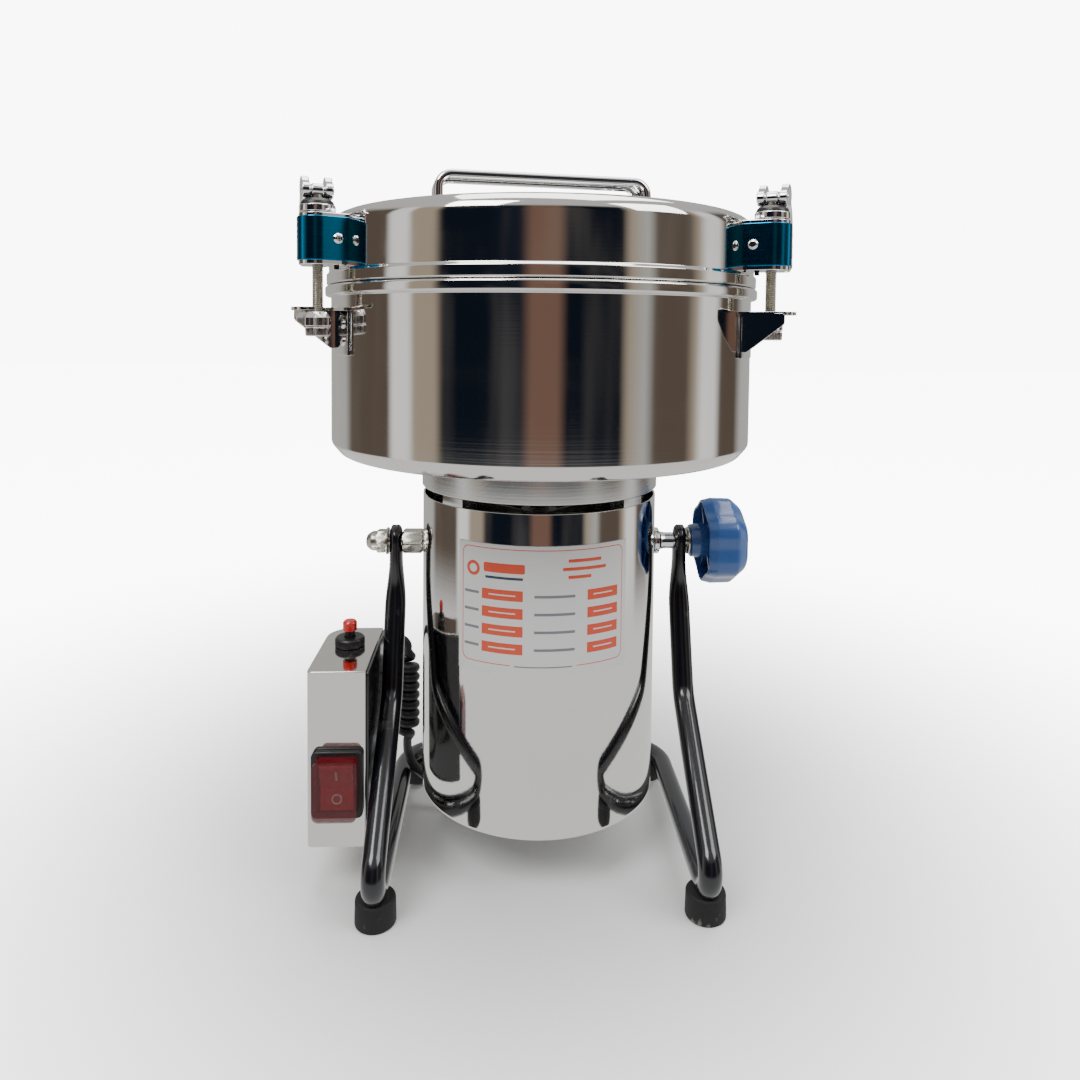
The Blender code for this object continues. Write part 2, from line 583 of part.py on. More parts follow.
def build_bowl(head, looks):
    wall = BOWL_R - BOWL_WALL
    centre = (BOWL_R - BOWL_CORNER, BOWL_BOTTOM + BOWL_CORNER)
    outside = arc(centre, BOWL_CORNER, -90, 0, 4)
    inside = arc(centre, BOWL_CORNER - BOWL_WALL, 0, -90, 4)
    add_object("bowl", turned(
        [(12 * MM, BOWL_BOTTOM)] + outside + [
            (BOWL_R, RIM_LOW), (RIM_R - 1 * MM, RIM_LOW), (RIM_R, RIM_LOW + 1 * MM),
            (RIM_R, RIM_TOP - 1 * MM), (RIM_R - 1 * MM, RIM_TOP), (wall, RIM_TOP)]
        + inside + [(12 * MM, BOWL_BOTTOM + BOWL_WALL)], ROUND_BIG), looks["mirror_steel"], head)

    # Each hook is bent from one plate: a slotted ledge, a gusset on one side and a flange on the wall.
    # Its slot opens anticlockwise, so turning the lid that way lets the rods leave the hooks.
    back, tip, half = BOWL_R + GAP, 150 * MM, 10.5 * MM
    ledge = [(back, -half), (tip - 5 * MM, -half), (tip, -half + 5 * MM), (tip, half - 5 * MM),
             (tip - 5 * MM, half), (back, half)]
    gusset = [(back, 319 * MM), (tip - 5 * MM, 319 * MM), (tip - 5 * MM, 314 * MM),
              (back + 4 * MM, 299 * MM), (back, 299 * MM)]
    slot = (arc((CLAMP_R, 0), SLOT_R, 180, 360, 8)
            + [(CLAMP_R + SLOT_R, 14 * MM), (CLAMP_R - SLOT_R, 14 * MM)])
    for name, azimuth in CLAMP_TURNS.items():
        turn = (0, 0, math.radians(azimuth))
        hook = add_object(f"bowl_hook_{name}", prism(ledge, 318.3 * MM, 320.1 * MM),
                          looks["mirror_steel"], head, rotation=turn)
        side = moved(prism(gusset, half - 1.6 * MM, half), turn=about("X", 90))
        cut(hook, side, "UNION", rotation=turn)
        cut(hook, block((back, -half, 295 * MM), (back + 1.6 * MM, half, 319.5 * MM)), "UNION",
            rotation=turn)
        cut(hook, prism(slot, 316 * MM, 322 * MM), rotation=turn)
        cut(hook, rod(back, 290 * MM, 324 * MM, ROUND_BIG), rotation=turn)

    add_object("shaft_seal", turned(
        [(SHAFT_R + GAP, 238 * MM), (11.7 * MM, 238 * MM), (11.7 * MM, 239.8 * MM),
         (17 * MM, 239.8 * MM), (16 * MM, 244 * MM), (SHAFT_R + GAP, 246 * MM)], ROUND_MID),
        looks["silicone"], head)


# Rotor: shaft, armature, fan and blades ----------------------------------------------------------

def blade_shape(reach, width, thick, lift, tip):
    """A two-armed blade with clipped ends, its arms curving up or down by `lift` at the tips."""
    half = width / 2
    stations = [-reach, -reach + tip, -52 * MM, -34 * MM, -20 * MM, 0, 20 * MM, 34 * MM, 52 * MM,
                reach - tip, reach]
    widths = [0.35, 1, 1, 1, 1, 1.25, 1, 1, 1, 1, 0.35]
    near = [(x, -half * (w if i < len(widths) / 2 else 1 if w < 1 else w))
            for i, (x, w) in enumerate(zip(stations, widths))]
    far = [(x, half * (w if i > len(widths) / 2 else 1 if w < 1 else w))
           for i, (x, w) in enumerate(zip(stations, widths))]
    shape = bmesh.new()
    start = 22 * MM
    rows = []
    for (x, y0), (_, y1) in zip(near, far):
        rise = lift * (max(0.0, abs(x) - start) / (reach - start)) ** 1.5
        rows.append([shape.verts.new(p) for p in ((x, y0, rise), (x, y1, rise),
                                                  (x, y1, rise + thick), (x, y0, rise + thick))])
    for one, two in zip(rows, rows[1:]):
        for i in range(4):
            j = (i + 1) % 4
            shape.faces.new((one[i], one[j], two[j], two[i]))
    shape.faces.new(rows[0])
    shape.faces.new(rows[-1])
    return shape


def build_rotor(head, looks):
    rotor = empty("rotor_axis", (0, 0, 0), head)
    add_object("motor_shaft", turned(
        [(0, 46 * MM), (5.5 * MM, 46 * MM), (SHAFT_R, 46.6 * MM), (SHAFT_R, 297 * MM),
         (0, 297 * MM)], 20), looks["zinc"], rotor)
    bore = SHAFT_R + GAP
    add_object("armature", turned(
        [(bore, 80 * MM), (22 * MM, 80 * MM), (26 * MM, 85 * MM), (30 * MM, 86 * MM),
         (30 * MM, 144 * MM), (26 * MM, 145 * MM), (22 * MM, 151 * MM), (bore, 151 * MM)]),
        looks["iron"], rotor)
    add_object("commutator", turned(
        [(bore, 60.5 * MM), (14 * MM, 60.5 * MM), (16 * MM, 61.5 * MM), (16 * MM, 76 * MM),
         (17.6 * MM, 76.4 * MM), (17.6 * MM, 79.6 * MM), (bore, 79.6 * MM)], 24),
        looks["copper"], rotor)
    fan = add_object("cooling_fan", turned(
        [(bore, 184 * MM), (50 * MM, 184 * MM), (50 * MM, 185.6 * MM), (11 * MM, 185.6 * MM),
         (11 * MM, 200 * MM), (bore, 200 * MM)]), looks["aluminium"], rotor)
    cut(fan, on_circle(0, 8, lambda: block((10 * MM, -0.8 * MM, 185 * MM),
                                           (49 * MM, 0.8 * MM, 197 * MM))), "UNION")

    stack = (("blade_lower", 255 * MM, 108 * MM, 26 * MM, 3.0 * MM, -4 * MM, 0),
             ("blade_middle", 270 * MM, 98 * MM, 24 * MM, 2.6 * MM, 5 * MM, 60),
             ("blade_upper", 284 * MM, 84 * MM, 22 * MM, 2.6 * MM, 12 * MM, 120))
    for name, height, reach, width, thick, lift, turn in stack:
        blade = add_object(name, blade_shape(reach, width, thick, lift, 16 * MM), looks["zinc"],
                           rotor, (0, 0, height), (0, 0, math.radians(turn)))
        cut(blade, rod(bore, -5 * MM, 10 * MM, 20), location=(0, 0, height))
    nut = add_object("blade_nut", prism(hexagon(19 * MM), 286.9 * MM, 299 * MM), looks["chrome"], rotor)
    cut(nut, rod(bore, 280 * MM, 297.4 * MM, 20))


# Lid -------------------------------------------------------------------------------------------

def lid_top(radius):
    """Height of the lid's outer skin inside the shoulder: a shallow paraboloid."""
    flat = LID_R - LID_SHOULDER_R
    return LID_SHOULDER_Z + LID_SHOULDER_R + LID_CROWN * (1 - (radius / flat) ** 2)


def build_lid(lid, looks):
    centre = (LID_R - LID_SHOULDER_R, LID_SHOULDER_Z)
    outer = [(LID_BEAD_R - 0.8 * MM, RIM_TOP + GAP), (LID_BEAD_R, RIM_TOP + 1.2 * MM),
             (LID_BEAD_R, 339 * MM), (LID_R, 340.6 * MM)] + arc(centre, LID_SHOULDER_R, 0, 90, 4)
    crown = [(r * MM, lid_top(r * MM)) for r in (80, 40, 0)]
    under = [(r, z - SHEET) for r, z in reversed(crown)]
    inner = arc(centre, LID_SHOULDER_R - SHEET, 90, 0, 4)
    add_object("lid_shell", turned(
        outer + crown + under + inner + [(LID_R - SHEET, RIM_TOP + GAP)], ROUND_BIG),
        looks["mirror_steel"], lid)
    seat, lip = RIM_TOP + 0.6 * MM, LID_R - SHEET - GAP
    add_object("lid_gasket", turned(
        [(116 * MM, seat), (lip, seat), (lip, 341 * MM), (121.5 * MM, 341 * MM),
         (121 * MM, 337.5 * MM), (116 * MM, 337.5 * MM)], ROUND_BIG), looks["silicone"], lid)

    # Strap handle across the lid, standing on two turned-in feet.
    leg, top, foot = 65 * MM, 401.3 * MM, 375.9 * MM
    corners = [(-50 * MM, 0, foot), (-leg, 0, foot), (-leg, 0, top), (leg, 0, top), (leg, 0, foot),
               (50 * MM, 0, foot)]
    route = rounded_route(corners, [3 * MM, 10 * MM, 10 * MM, 3 * MM], 3 * MM)
    half, thin = 12 * MM, 0.75 * MM
    strap = [(-half, -thin), (half, -thin), (half, thin), (-half, thin)]
    add_object("lid_handle", swept(route, lambda i: strap, Vector((0, 1, 0))), looks["chrome"], lid,
               rotation=(0, 0, HANDLE_TURN))


def build_clamp_housings(lid, looks):
    """Anodised block on the lid's wall round each rod, with a thin plate above and below."""
    def stadium(half):
        start = LID_R - 6 * MM
        return [(start, -half)] + arc((CLAMP_R, 0), half, -90, 90, 10) + [(start, half)]

    core, wide = 9.6 * MM, 10.4 * MM
    centre = (LID_R - LID_SHOULDER_R, LID_SHOULDER_Z)
    lid_space = ([(0, 335 * MM), (LID_R + GAP, 335 * MM)]
                 + arc(centre, LID_SHOULDER_R + GAP, 0, 90, 4) + [(0, 373.3 * MM)])
    for name, azimuth in CLAMP_TURNS.items():
        turn = (0, 0, math.radians(azimuth))
        housing = add_object(f"clamp_housing_{name}", prism(stadium(core), 341.5 * MM, 368.2 * MM),
                             looks["blue_anodised"], lid, rotation=turn)
        cut(housing, prism(stadium(wide), 343.9 * MM, 366.1 * MM), "UNION", rotation=turn)
        cut(housing, turned(lid_space, ROUND_BIG), rotation=turn)
        cut(housing, moved(rod(ROD_R + 0.4 * MM, 335 * MM, 375 * MM, 16), (CLAMP_R, 0, 0)),
            rotation=turn)


# Clamps: rod with its cross barrel, washer and saddle, and cam lever -------------------------------

def build_clamps(lid, looks):
    # A cheek is the hull of the hub round the pin and of the cam disc, in (outward, up).
    cheek = (arc((0, 0), 3.9 * MM, 96, 270, 6)
             + arc((4.3 * MM, 1.8 * MM), 6.0 * MM, -90, 90, 8))
    arm = [(6.5 * MM, 7.0 * MM), (5.4 * MM, 1 * MM), (9.8 * MM, -4 * MM), (12.6 * MM, -9 * MM),
           (14.2 * MM, -17 * MM), (14.3 * MM, -27 * MM), (13.2 * MM, -37 * MM),
           (14.4 * MM, -39 * MM), (16.4 * MM, -38 * MM), (18 * MM, -28 * MM),
           (18.2 * MM, -16 * MM), (16 * MM, -5 * MM), (12 * MM, 3 * MM), (9 * MM, 6.4 * MM)]
    upright = about("X", 90)
    on_pin = {"location": (0, 0, LEVER_AXIS_Z), "rotation": (math.pi / 2, 0, 0)}
    for name, azimuth in CLAMP_TURNS.items():
        a = math.radians(azimuth)
        # The swivel's x points to where the lever hangs, and its y runs along the lever's pin.
        swivel = empty(f"clamp_swivel_{name}", (CLAMP_R * math.cos(a), CLAMP_R * math.sin(a), 0), lid,
                       math.radians(LEVER_TURNS[name]))
        bolt = add_object(f"clamp_rod_{name}", turned(
            [(0, 305 * MM), (6 * MM, 305 * MM), (6.65 * MM, 305.8 * MM), (6.65 * MM, 315 * MM),
             (5 * MM, 317.9 * MM), (ROD_R, 317.9 * MM), (ROD_R, LEVER_AXIS_Z), (0, LEVER_AXIS_Z)],
            14), looks["zinc"], swivel)
        cut(bolt, rod(3.5 * MM, -3.2 * MM, 3.2 * MM, 12), "UNION", **on_pin)
        cut(bolt, rod(2.0 * MM, -8.4 * MM, 8.4 * MM, 8), "UNION", **on_pin)
        add_object(f"clamp_saddle_{name}", turned(
            [(ROD_R + GAP, 368.5 * MM), (9.2 * MM, 368.5 * MM), (9.2 * MM, 372.5 * MM),
             (8.6 * MM, 374 * MM), (6.8 * MM, 375.4 * MM), (ROD_R + GAP, 375.4 * MM)], 24),
            looks["black_plastic"], swivel)

        hinge = empty(f"clamp_hinge_{name}", (0, 0, LEVER_AXIS_Z), swivel)
        lever = add_object(f"clamp_lever_{name}",
                           moved(prism(arm, -8.1 * MM, 8.1 * MM), turn=upright), looks["chrome"], hinge)
        for side in (-1, 1):
            cut(lever, moved(prism(cheek, -2.2 * MM, 2.2 * MM), (0, 0, side * 5.9 * MM)), "UNION",
                rotation=(math.pi / 2, 0, 0))
        cut(lever, rod(2.3 * MM, -12 * MM, 12 * MM, 12), rotation=(math.pi / 2, 0, 0))


# The whole machine -----------------------------------------------------------------------------

def build():
    clear_scene()
    looks = all_materials()
    base = empty("machine", (FRAME_X, FRAME_Y, 0))
    tilt = empty("tilt_axis", (0, 0, PIVOT_Z), base)
    head = empty("head_floor", (0, 0, -PIVOT_Z), tilt)
    lid = empty("lid_axis", (0, 0, 0), head)
    build_stand(base, looks)
    build_control_box(base, looks)
    build_switch(base, looks)
    build_cord(base, head, looks)
    build_motor(head, looks)
    build_pivots(head, looks)
    build_knob(head, looks)
    build_bowl(head, looks)
    build_rotor(head, looks)
    build_lid(lid, looks)
    build_clamp_housings(lid, looks)
    build_clamps(lid, looks)


build()
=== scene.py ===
"""Looks of a swing-type hammer grinder: a clamped bowl of blades over an upright motor, in a tilting stand.

+Z is up and -Y is the front. Shapes are in millimetres round the bowl's upright axis, and each is put
into the frame's metres when it becomes a piece.
"""
import math

import bpy
import numpy as np
from mathutils import Matrix, Vector


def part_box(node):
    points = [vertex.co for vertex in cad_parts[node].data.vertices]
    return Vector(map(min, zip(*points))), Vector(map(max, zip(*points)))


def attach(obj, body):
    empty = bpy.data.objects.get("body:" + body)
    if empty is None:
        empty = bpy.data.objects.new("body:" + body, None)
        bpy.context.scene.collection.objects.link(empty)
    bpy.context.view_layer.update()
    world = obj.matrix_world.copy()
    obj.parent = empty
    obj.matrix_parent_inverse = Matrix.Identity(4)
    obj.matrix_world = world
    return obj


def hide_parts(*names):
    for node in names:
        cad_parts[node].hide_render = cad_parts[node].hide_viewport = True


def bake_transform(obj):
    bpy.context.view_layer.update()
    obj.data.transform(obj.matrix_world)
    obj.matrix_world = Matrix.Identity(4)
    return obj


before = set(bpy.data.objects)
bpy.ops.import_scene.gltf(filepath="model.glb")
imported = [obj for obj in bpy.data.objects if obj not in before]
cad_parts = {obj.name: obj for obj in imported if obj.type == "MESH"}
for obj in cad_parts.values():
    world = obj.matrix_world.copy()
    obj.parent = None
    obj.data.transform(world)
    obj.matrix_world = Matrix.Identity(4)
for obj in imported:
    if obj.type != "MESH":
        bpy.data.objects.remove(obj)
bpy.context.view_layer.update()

# Camera -----------------------------------------------------------------------
# A handheld view from just under the lid's height, close in, looking a little down. The lens is
# shifted so that the whole machine stands in a square picture.
scene = bpy.context.scene
camera = bpy.data.objects.new("camera", bpy.data.cameras.new("camera"))
camera.data.lens = 27.4
camera.data.sensor_width = 36
camera.data.shift_y = -0.159
camera.matrix_world = (Matrix.Translation((-0.0231, -0.5111, 0.310))
                       @ Matrix.Rotation(math.radians(-2.5), 4, "Z")
                       @ Matrix.Rotation(math.radians(90 - 2.75), 4, "X")
                       @ Matrix.Rotation(math.radians(0.56), 4, "Z"))
scene.collection.objects.link(camera)
scene.camera = camera


# Room and light ---------------------------------------------------------------
# Polished steel shows what stands round it: pale walls with dark doorways and brown uprights, as a
# band of colours round the horizon, with a pale ceiling and floor. The camera itself sees white.
class Value:
    """A socket of a node graph that arithmetic can be written on."""

    def __init__(self, graph, socket):
        self.graph, self.socket = graph, socket

    def part(self, name):
        return Value(self.graph, self.socket.node.outputs[name])

    def __add__(self, other): return self.graph.maths("ADD", self, other)
    def __radd__(self, other): return self.graph.maths("ADD", other, self)
    def __sub__(self, other): return self.graph.maths("SUBTRACT", self, other)
    def __rsub__(self, other): return self.graph.maths("SUBTRACT", other, self)
    def __mul__(self, other): return self.graph.maths("MULTIPLY", self, other)
    def __truediv__(self, other): return self.graph.maths("DIVIDE", self, other)
    def __pow__(self, other): return self.graph.maths("POWER", self, other)
    def __abs__(self): return self.graph.maths("ABSOLUTE", self)


class Graph:
    """The node tree of a finish or of the room."""

    def __init__(self, tree):
        self.tree = tree
        tree.nodes.clear()

    def node(self, kind, settings=(), values=(), out=0):
        made = self.tree.nodes.new(kind)
        for name, value in dict(settings).items():
            if name == "stops":
                self.colour_stops(made.color_ramp.elements, value)
            else:
                setattr(made, name, value)
        for name, value in dict(values).items():
            if isinstance(value, Value):
                self.tree.links.new(value.socket, made.inputs[name])
            else:
                made.inputs[name].default_value = value
        return Value(self, made.outputs[out]) if made.outputs else None

    def colour_stops(self, elements, stops):
        elements[0].position, elements[-1].position = stops[0][0], stops[-1][0]
        for place, _ in stops[1:-1]:
            elements.new(place)
        for element, (_, colour) in zip(elements, stops):
            element.color = (*colour, 1.0) if np.size(colour) == 3 else (colour, colour, colour, 1.0)

    def maths(self, operation, *values):
        return self.node("ShaderNodeMath", {"operation": operation}, enumerate(values))

    def mix(self, factor, one, two):
        """One colour going over to the other as the factor goes from 0 to 1."""
        one, two = [(*c, 1.0) if isinstance(c, tuple) else c for c in (one, two)]
        return self.node("ShaderNodeMix", {"data_type": "RGBA"}, {0: factor, 6: one, 7: two}, out=2)

    def ramp(self, value, *stops):
        return self.node("ShaderNodeValToRGB", {"stops": stops}, {0: value})

    def step(self, value, start, end):
        """0 below start, 1 above end, smooth between."""
        return self.node("ShaderNodeMapRange", {"interpolation_type": "SMOOTHSTEP"},
                         {0: value, 1: start, 2: end})

    def noise(self, coords, scale, detail=2.0):
        return self.node("ShaderNodeTexNoise", (), {"Vector": coords, "Scale": scale, "Detail": detail})


world = bpy.data.worlds.new("room")
world.use_nodes = True
scene.world = world
room = Graph(world.node_tree)
towards = room.node("ShaderNodeTexCoord", out="Generated")
east = room.node("ShaderNodeSeparateXYZ", (), {0: towards})
north, height = east.part("Y"), east.part("Z")
turn = room.maths("ARCTAN2", east, 0 - north) / math.tau + 0.5      # 0.5 is straight to the front
pale, white, beige = (0.52, 0.52, 0.50), (1.0, 1.0, 0.98), (0.42, 0.35, 0.27)
brown, skin, night = (0.115, 0.088, 0.070), (0.20, 0.115, 0.085), (0.006, 0.009, 0.017)
walls = ((-180, pale), (-128, pale), (-120, brown), (-88, brown), (-84, white), (-74, white),
         (-70, beige), (-58, beige), (-53, night), (-30, night), (-13, (0.012, 0.016, 0.028)),
         (-7, skin), (6, skin), (11, night), (38, night), (43, beige), (52, pale), (58, brown),
         (78, brown), (84, beige), (90, white), (100, white), (106, brown), (122, brown), (132, pale),
         (180, pale))
band = room.ramp(turn, *(((degrees + 180) / 360, colour) for degrees, colour in walls))
smear = room.noise(towards, 3.1)
band = room.mix(room.step(smear, 0.45, 0.75) * 0.18, band, (0.30, 0.27, 0.23))
band = room.mix(room.step(height, 0.42, 0.62), band, (0.60, 0.60, 0.59))
band = room.mix(room.step(0 - height, 0.20, 0.35), band, (0.86, 0.86, 0.85))
seen = room.node("ShaderNodeLightPath", out="Is Camera Ray")
sky = room.node("ShaderNodeBackground", (), {"Color": room.mix(seen, band, (9.0, 9.0, 9.0))})
room.node("ShaderNodeOutputWorld", (), {"Surface": sky})

for name, place, watts, size in (("key", (-0.9, -1.1, 1.7), 24, 0.9), ("fill", (1.2, -0.7, 1.3), 13, 0.9),
                                 ("overhead", (0.1, 0.3, 2.1), 34, 1.6)):
    lamp = bpy.data.objects.new(name, bpy.data.lights.new(name, "AREA"))
    lamp.data.energy = watts
    lamp.data.size = size
    way = Vector((0, 0, 0.2)) - Vector(place)
    lamp.matrix_world = Matrix.Translation(place) @ way.to_track_quat("-Z", "Y").to_matrix().to_4x4()
    scene.collection.objects.link(lamp)


# Shapes and pieces ------------------------------------------------------------
# The floor is the first piece made, so the way every shape becomes an object stands here.
MM = 0.001
AXIS = np.array([(a + b) / 2 for a, b in zip(*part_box("bowl"))]) * (1, 1, 0)


class Shape:
    """Skins as arrays: points in mm round the bowl's axis, faces of four corners, and flat outlines."""

    def __init__(self, points, quads, flats=()):
        self.points, self.quads, self.flats = points, quads, list(flats)

    def __add__(self, other):
        shift = len(self.points)
        return Shape(np.vstack((self.points, other.points)), np.vstack((self.quads, other.quads + shift)),
                     self.flats + [flat + shift for flat in other.flats])

    def moved(self, x=0.0, y=0.0, z=0.0):
        return Shape(self.points + (x, y, z), self.quads, self.flats)

    def turned(self, axis, degrees):
        matrix = np.array(Matrix.Rotation(math.radians(degrees), 3, axis))
        return Shape(self.points @ matrix.T, self.quads, self.flats)

    def around(self, count, first=0.0):
        """Copies at equal turns about Z."""
        whole = self.turned("Z", first)
        for k in range(1, count):
            whole += self.turned("Z", first + 360 * k / count)
        return whole


def woven(grid, round_u=False, round_v=False):
    """Faces between neighbours of a (u, v) grid of points. Points in one place are made one, and a
    closed skin whose signed volume, the sum of corner . (corner x corner), is negative is reversed."""
    rows, columns = grid.shape[:2]
    index = np.arange(rows * columns).reshape(rows, columns)
    index = np.vstack((index, index[:1])) if round_u else index
    index = np.hstack((index, index[:, :1])) if round_v else index
    quads = np.stack((index[:-1, :-1], index[:-1, 1:], index[1:, 1:], index[1:, :-1]), -1).reshape(-1, 4)
    points = grid.reshape(-1, 3)
    _, first, same = np.unique(np.round(points * 1e4).astype(np.int64), axis=0, return_index=True,
                               return_inverse=True)
    quads, points = same.reshape(-1)[quads], points[first]
    quads = quads[(quads == np.roll(quads, -1, axis=1)).sum(1) < 2]
    a, b, c, d = (points[quads[:, k]] for k in range(4))
    volume = (a * (np.cross(b, c) + np.cross(c, d))).sum()
    return Shape(points, quads if volume > 0 else quads[:, ::-1])


def piece(name, shape, look, body, stands_for=(), sharp=38, ease=0.0):
    """A shape as a smooth-shaded object that rides on a body; `ease` rounds its sharp edges, in mm."""
    pinched = shape.quads == np.roll(shape.quads, -1, axis=1)
    three = pinched.any(1)
    start = pinched.argmax(1) + 2
    loose = np.take_along_axis(shape.quads, (start[:, None] + np.arange(4)) % 4, axis=1)[three, :3]
    faces = shape.quads[~three].tolist() + loose.tolist() + [flat.tolist() for flat in shape.flats]
    mesh = bpy.data.meshes.new(name)
    mesh.from_pydata((shape.points * MM + AXIS).tolist(), [], faces)
    mesh.materials.append(look.material)
    mesh.shade_smooth()
    mesh.set_sharp_from_angle(angle=math.radians(sharp))
    made = bpy.data.objects.new(name, mesh)
    scene.collection.objects.link(made)
    if ease:
        bevel = made.modifiers.new("eased_edges", "BEVEL")
        bevel.width = ease * MM
        bevel.segments = 3
        bevel.limit_method = "ANGLE"
        bevel.angle_limit = math.radians(sharp)
        bevel.harden_normals = True
    if body:
        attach(made, body)
    if stands_for:
        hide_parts(*([stands_for] if isinstance(stands_for, str) else stands_for))
    return made


class Look(Graph):
    """A procedural finish: one Principled shader, and the surface's own coordinates in metres."""

    def __init__(self, name, **constants):
        self.material = bpy.data.materials.new(name)
        self.material.use_nodes = True
        super().__init__(self.material.node_tree)
        self.shader = self.tree.nodes.new("ShaderNodeBsdfPrincipled")
        self.tree.links.new(self.shader.outputs[0],
                            self.tree.nodes.new("ShaderNodeOutputMaterial").inputs["Surface"])
        self.set(constants)
        self.at = self.node("ShaderNodeTexCoord", out="Object")
        self.x = self.node("ShaderNodeSeparateXYZ", (), {0: self.at})
        self.y, self.z = self.x.part("Y"), self.x.part("Z")

    def set(self, values):
        for name, value in values.items():
            socket = self.shader.inputs[name.replace("_", " ")]
            if isinstance(value, Value):
                self.tree.links.new(value.socket, socket)
            else:
                socket.default_value = (*value, 1.0) if socket.type == "RGBA" else value

    def grain(self, scale, detail=2.0):
        return self.noise(self.at, scale, detail)

    def stretched(self, x, y, z):
        """The coordinates scaled by x, y and z."""
        return self.node("ShaderNodeMapping", (), {"Vector": self.at, "Scale": (x, y, z)})

    def mottled(self, grain, one, two, rough, spread):
        """Colour goes from one to two, and roughness up by spread, as the grain goes from 0 to 1."""
        self.set({"Base_Color": self.mix(grain, one, two), "Roughness": rough + grain * spread})

    def bump(self, height, depth, strength=1.0):
        """Relief `depth` mm deep where height goes from 0 to 1."""
        self.set({"Normal": self.node("ShaderNodeBump", (), {"Height": height, "Strength": strength,
                                                             "Distance": depth * MM})})


floor_look = Look("studio_floor", Roughness=0.7, Emission_Strength=1.0)
tint = floor_look.grain(2.0)
floor_look.set({"Base_Color": floor_look.mix(tint, (0.86, 0.86, 0.86), (0.88, 0.88, 0.88))})
away = floor_look.maths("SQRT", floor_look.x ** 2.0 + floor_look.y ** 2.0)
floor_look.set({"Emission_Color": floor_look.mix(floor_look.step(away, 0.10, 0.75), (0.0, 0.0, 0.0),
                                                 (9.0, 9.0, 9.0))})
FAR = 6000.0
ground = np.array([[(-FAR, -FAR, 0), (FAR, -FAR, 0)], [(-FAR, FAR, 0), (FAR, FAR, 0)]], float)
floor = piece("floor", woven(ground), floor_look, None)
floor.visible_glossy = False
floor.visible_diffuse = False


# Bowl -------------------------------------------------------------------------
# A drawn and spun stainless pan with a flat bottom, a rolled rim and a polish that leaves faint rings.
# Its rim takes the lid, and its bottom is bolted to the cast ring on top of the motor.
def eased(corners, radius, steps=6, closed=True):
    """A polyline whose corners give way to arcs that touch both their sides."""
    corners = np.array(corners, float)
    count = len(corners)
    out = []
    for i, (corner, r) in enumerate(zip(corners, np.broadcast_to(radius, count))):
        if r == 0 or (not closed and i in (0, count - 1)):
            out.append(corner[None])
            continue
        one, two = corners[i - 1] - corner, corners[(i + 1) % count] - corner
        one, two = one / np.linalg.norm(one), two / np.linalg.norm(two)
        half = math.acos(np.clip(one @ two, -1, 1)) / 2
        centre = corner + (one + two) / np.linalg.norm(one + two) * r / math.sin(half)
        start, end = (corner + side * r / math.tan(half) - centre for side in (one, two))
        bend = math.pi - 2 * half
        t = np.linspace(0, 1, steps + 1)
        out.append(centre + (np.outer(np.sin((1 - t) * bend), start)
                             + np.outer(np.sin(t * bend), end)) / math.sin(bend))
    return np.vstack(out)


def lathe(profile, sides=128, start=0.0, sweep=360.0):
    """A closed outline of (radius, height) turned about Z: x = r cos a, y = r sin a. A part turn is
    shut at both ends by drawing the outline in to its middle."""
    profile = np.array(profile, float)
    whole = sweep >= 360
    a = np.radians(start + sweep * np.arange(sides + (0 if whole else 1)) / sides)
    rings = np.broadcast_to(profile, (len(a), *profile.shape))
    if not whole:
        middle = np.broadcast_to(profile.mean(0), (1, *profile.shape))
        rings, a = np.concatenate((middle, rings, middle)), np.concatenate((a[:1], a, a[-1:]))
    grid = np.stack((rings[..., 0] * np.cos(a)[:, None], rings[..., 0] * np.sin(a)[:, None],
                     rings[..., 1]), -1)
    return woven(grid, round_u=whole, round_v=True)


def polished(name, colour, rough, ring=0.012, dent=0.05):
    """Mirror-polished sheet: rings left by the mop, soft dents and a few dull smudges."""
    look = Look(name, Metallic=1.0)
    smudge = look.grain(22.0, 5.0)
    hazy = look.noise(look.stretched(1.0, 1.0, 3.0), 9.0, 3.0)
    look.set({"Base_Color": look.mix(smudge, colour, tuple(c * 0.93 for c in colour)),
              "Roughness": rough + look.step(hazy, 0.45, 0.8) * 0.06 + smudge * 0.03})
    rings = look.noise(look.stretched(6.0, 6.0, 900.0), 1.0, 3.0)
    dents = look.noise(look.stretched(16.0, 16.0, 5.0), 1.0, 0.0)
    look.bump(rings * ring + dents * dent, 1.0)
    return look


mirror_steel = polished("mirror_steel", (0.80, 0.785, 0.76), 0.045)
BOWL_R, BOWL_BOTTOM, BOWL_WALL = 123.5, 238.0, 1.5
RIM_R, RIM_LOW, RIM_TOP = 126.8, 327.0, 333.0
inside = BOWL_R - BOWL_WALL
piece("bowl_pan", lathe(eased(
    [(12, BOWL_BOTTOM), (118, BOWL_BOTTOM), (BOWL_R, 244.5), (BOWL_R, RIM_LOW), (RIM_R, RIM_LOW),
     (RIM_R, RIM_TOP), (inside, RIM_TOP), (inside, BOWL_BOTTOM + BOWL_WALL), (12, BOWL_BOTTOM + BOWL_WALL)],
    [0, 4, 5, 0.6, 1.6, 1.4, 0.4, 10, 0]), 192), mirror_steel, "head", "bowl")


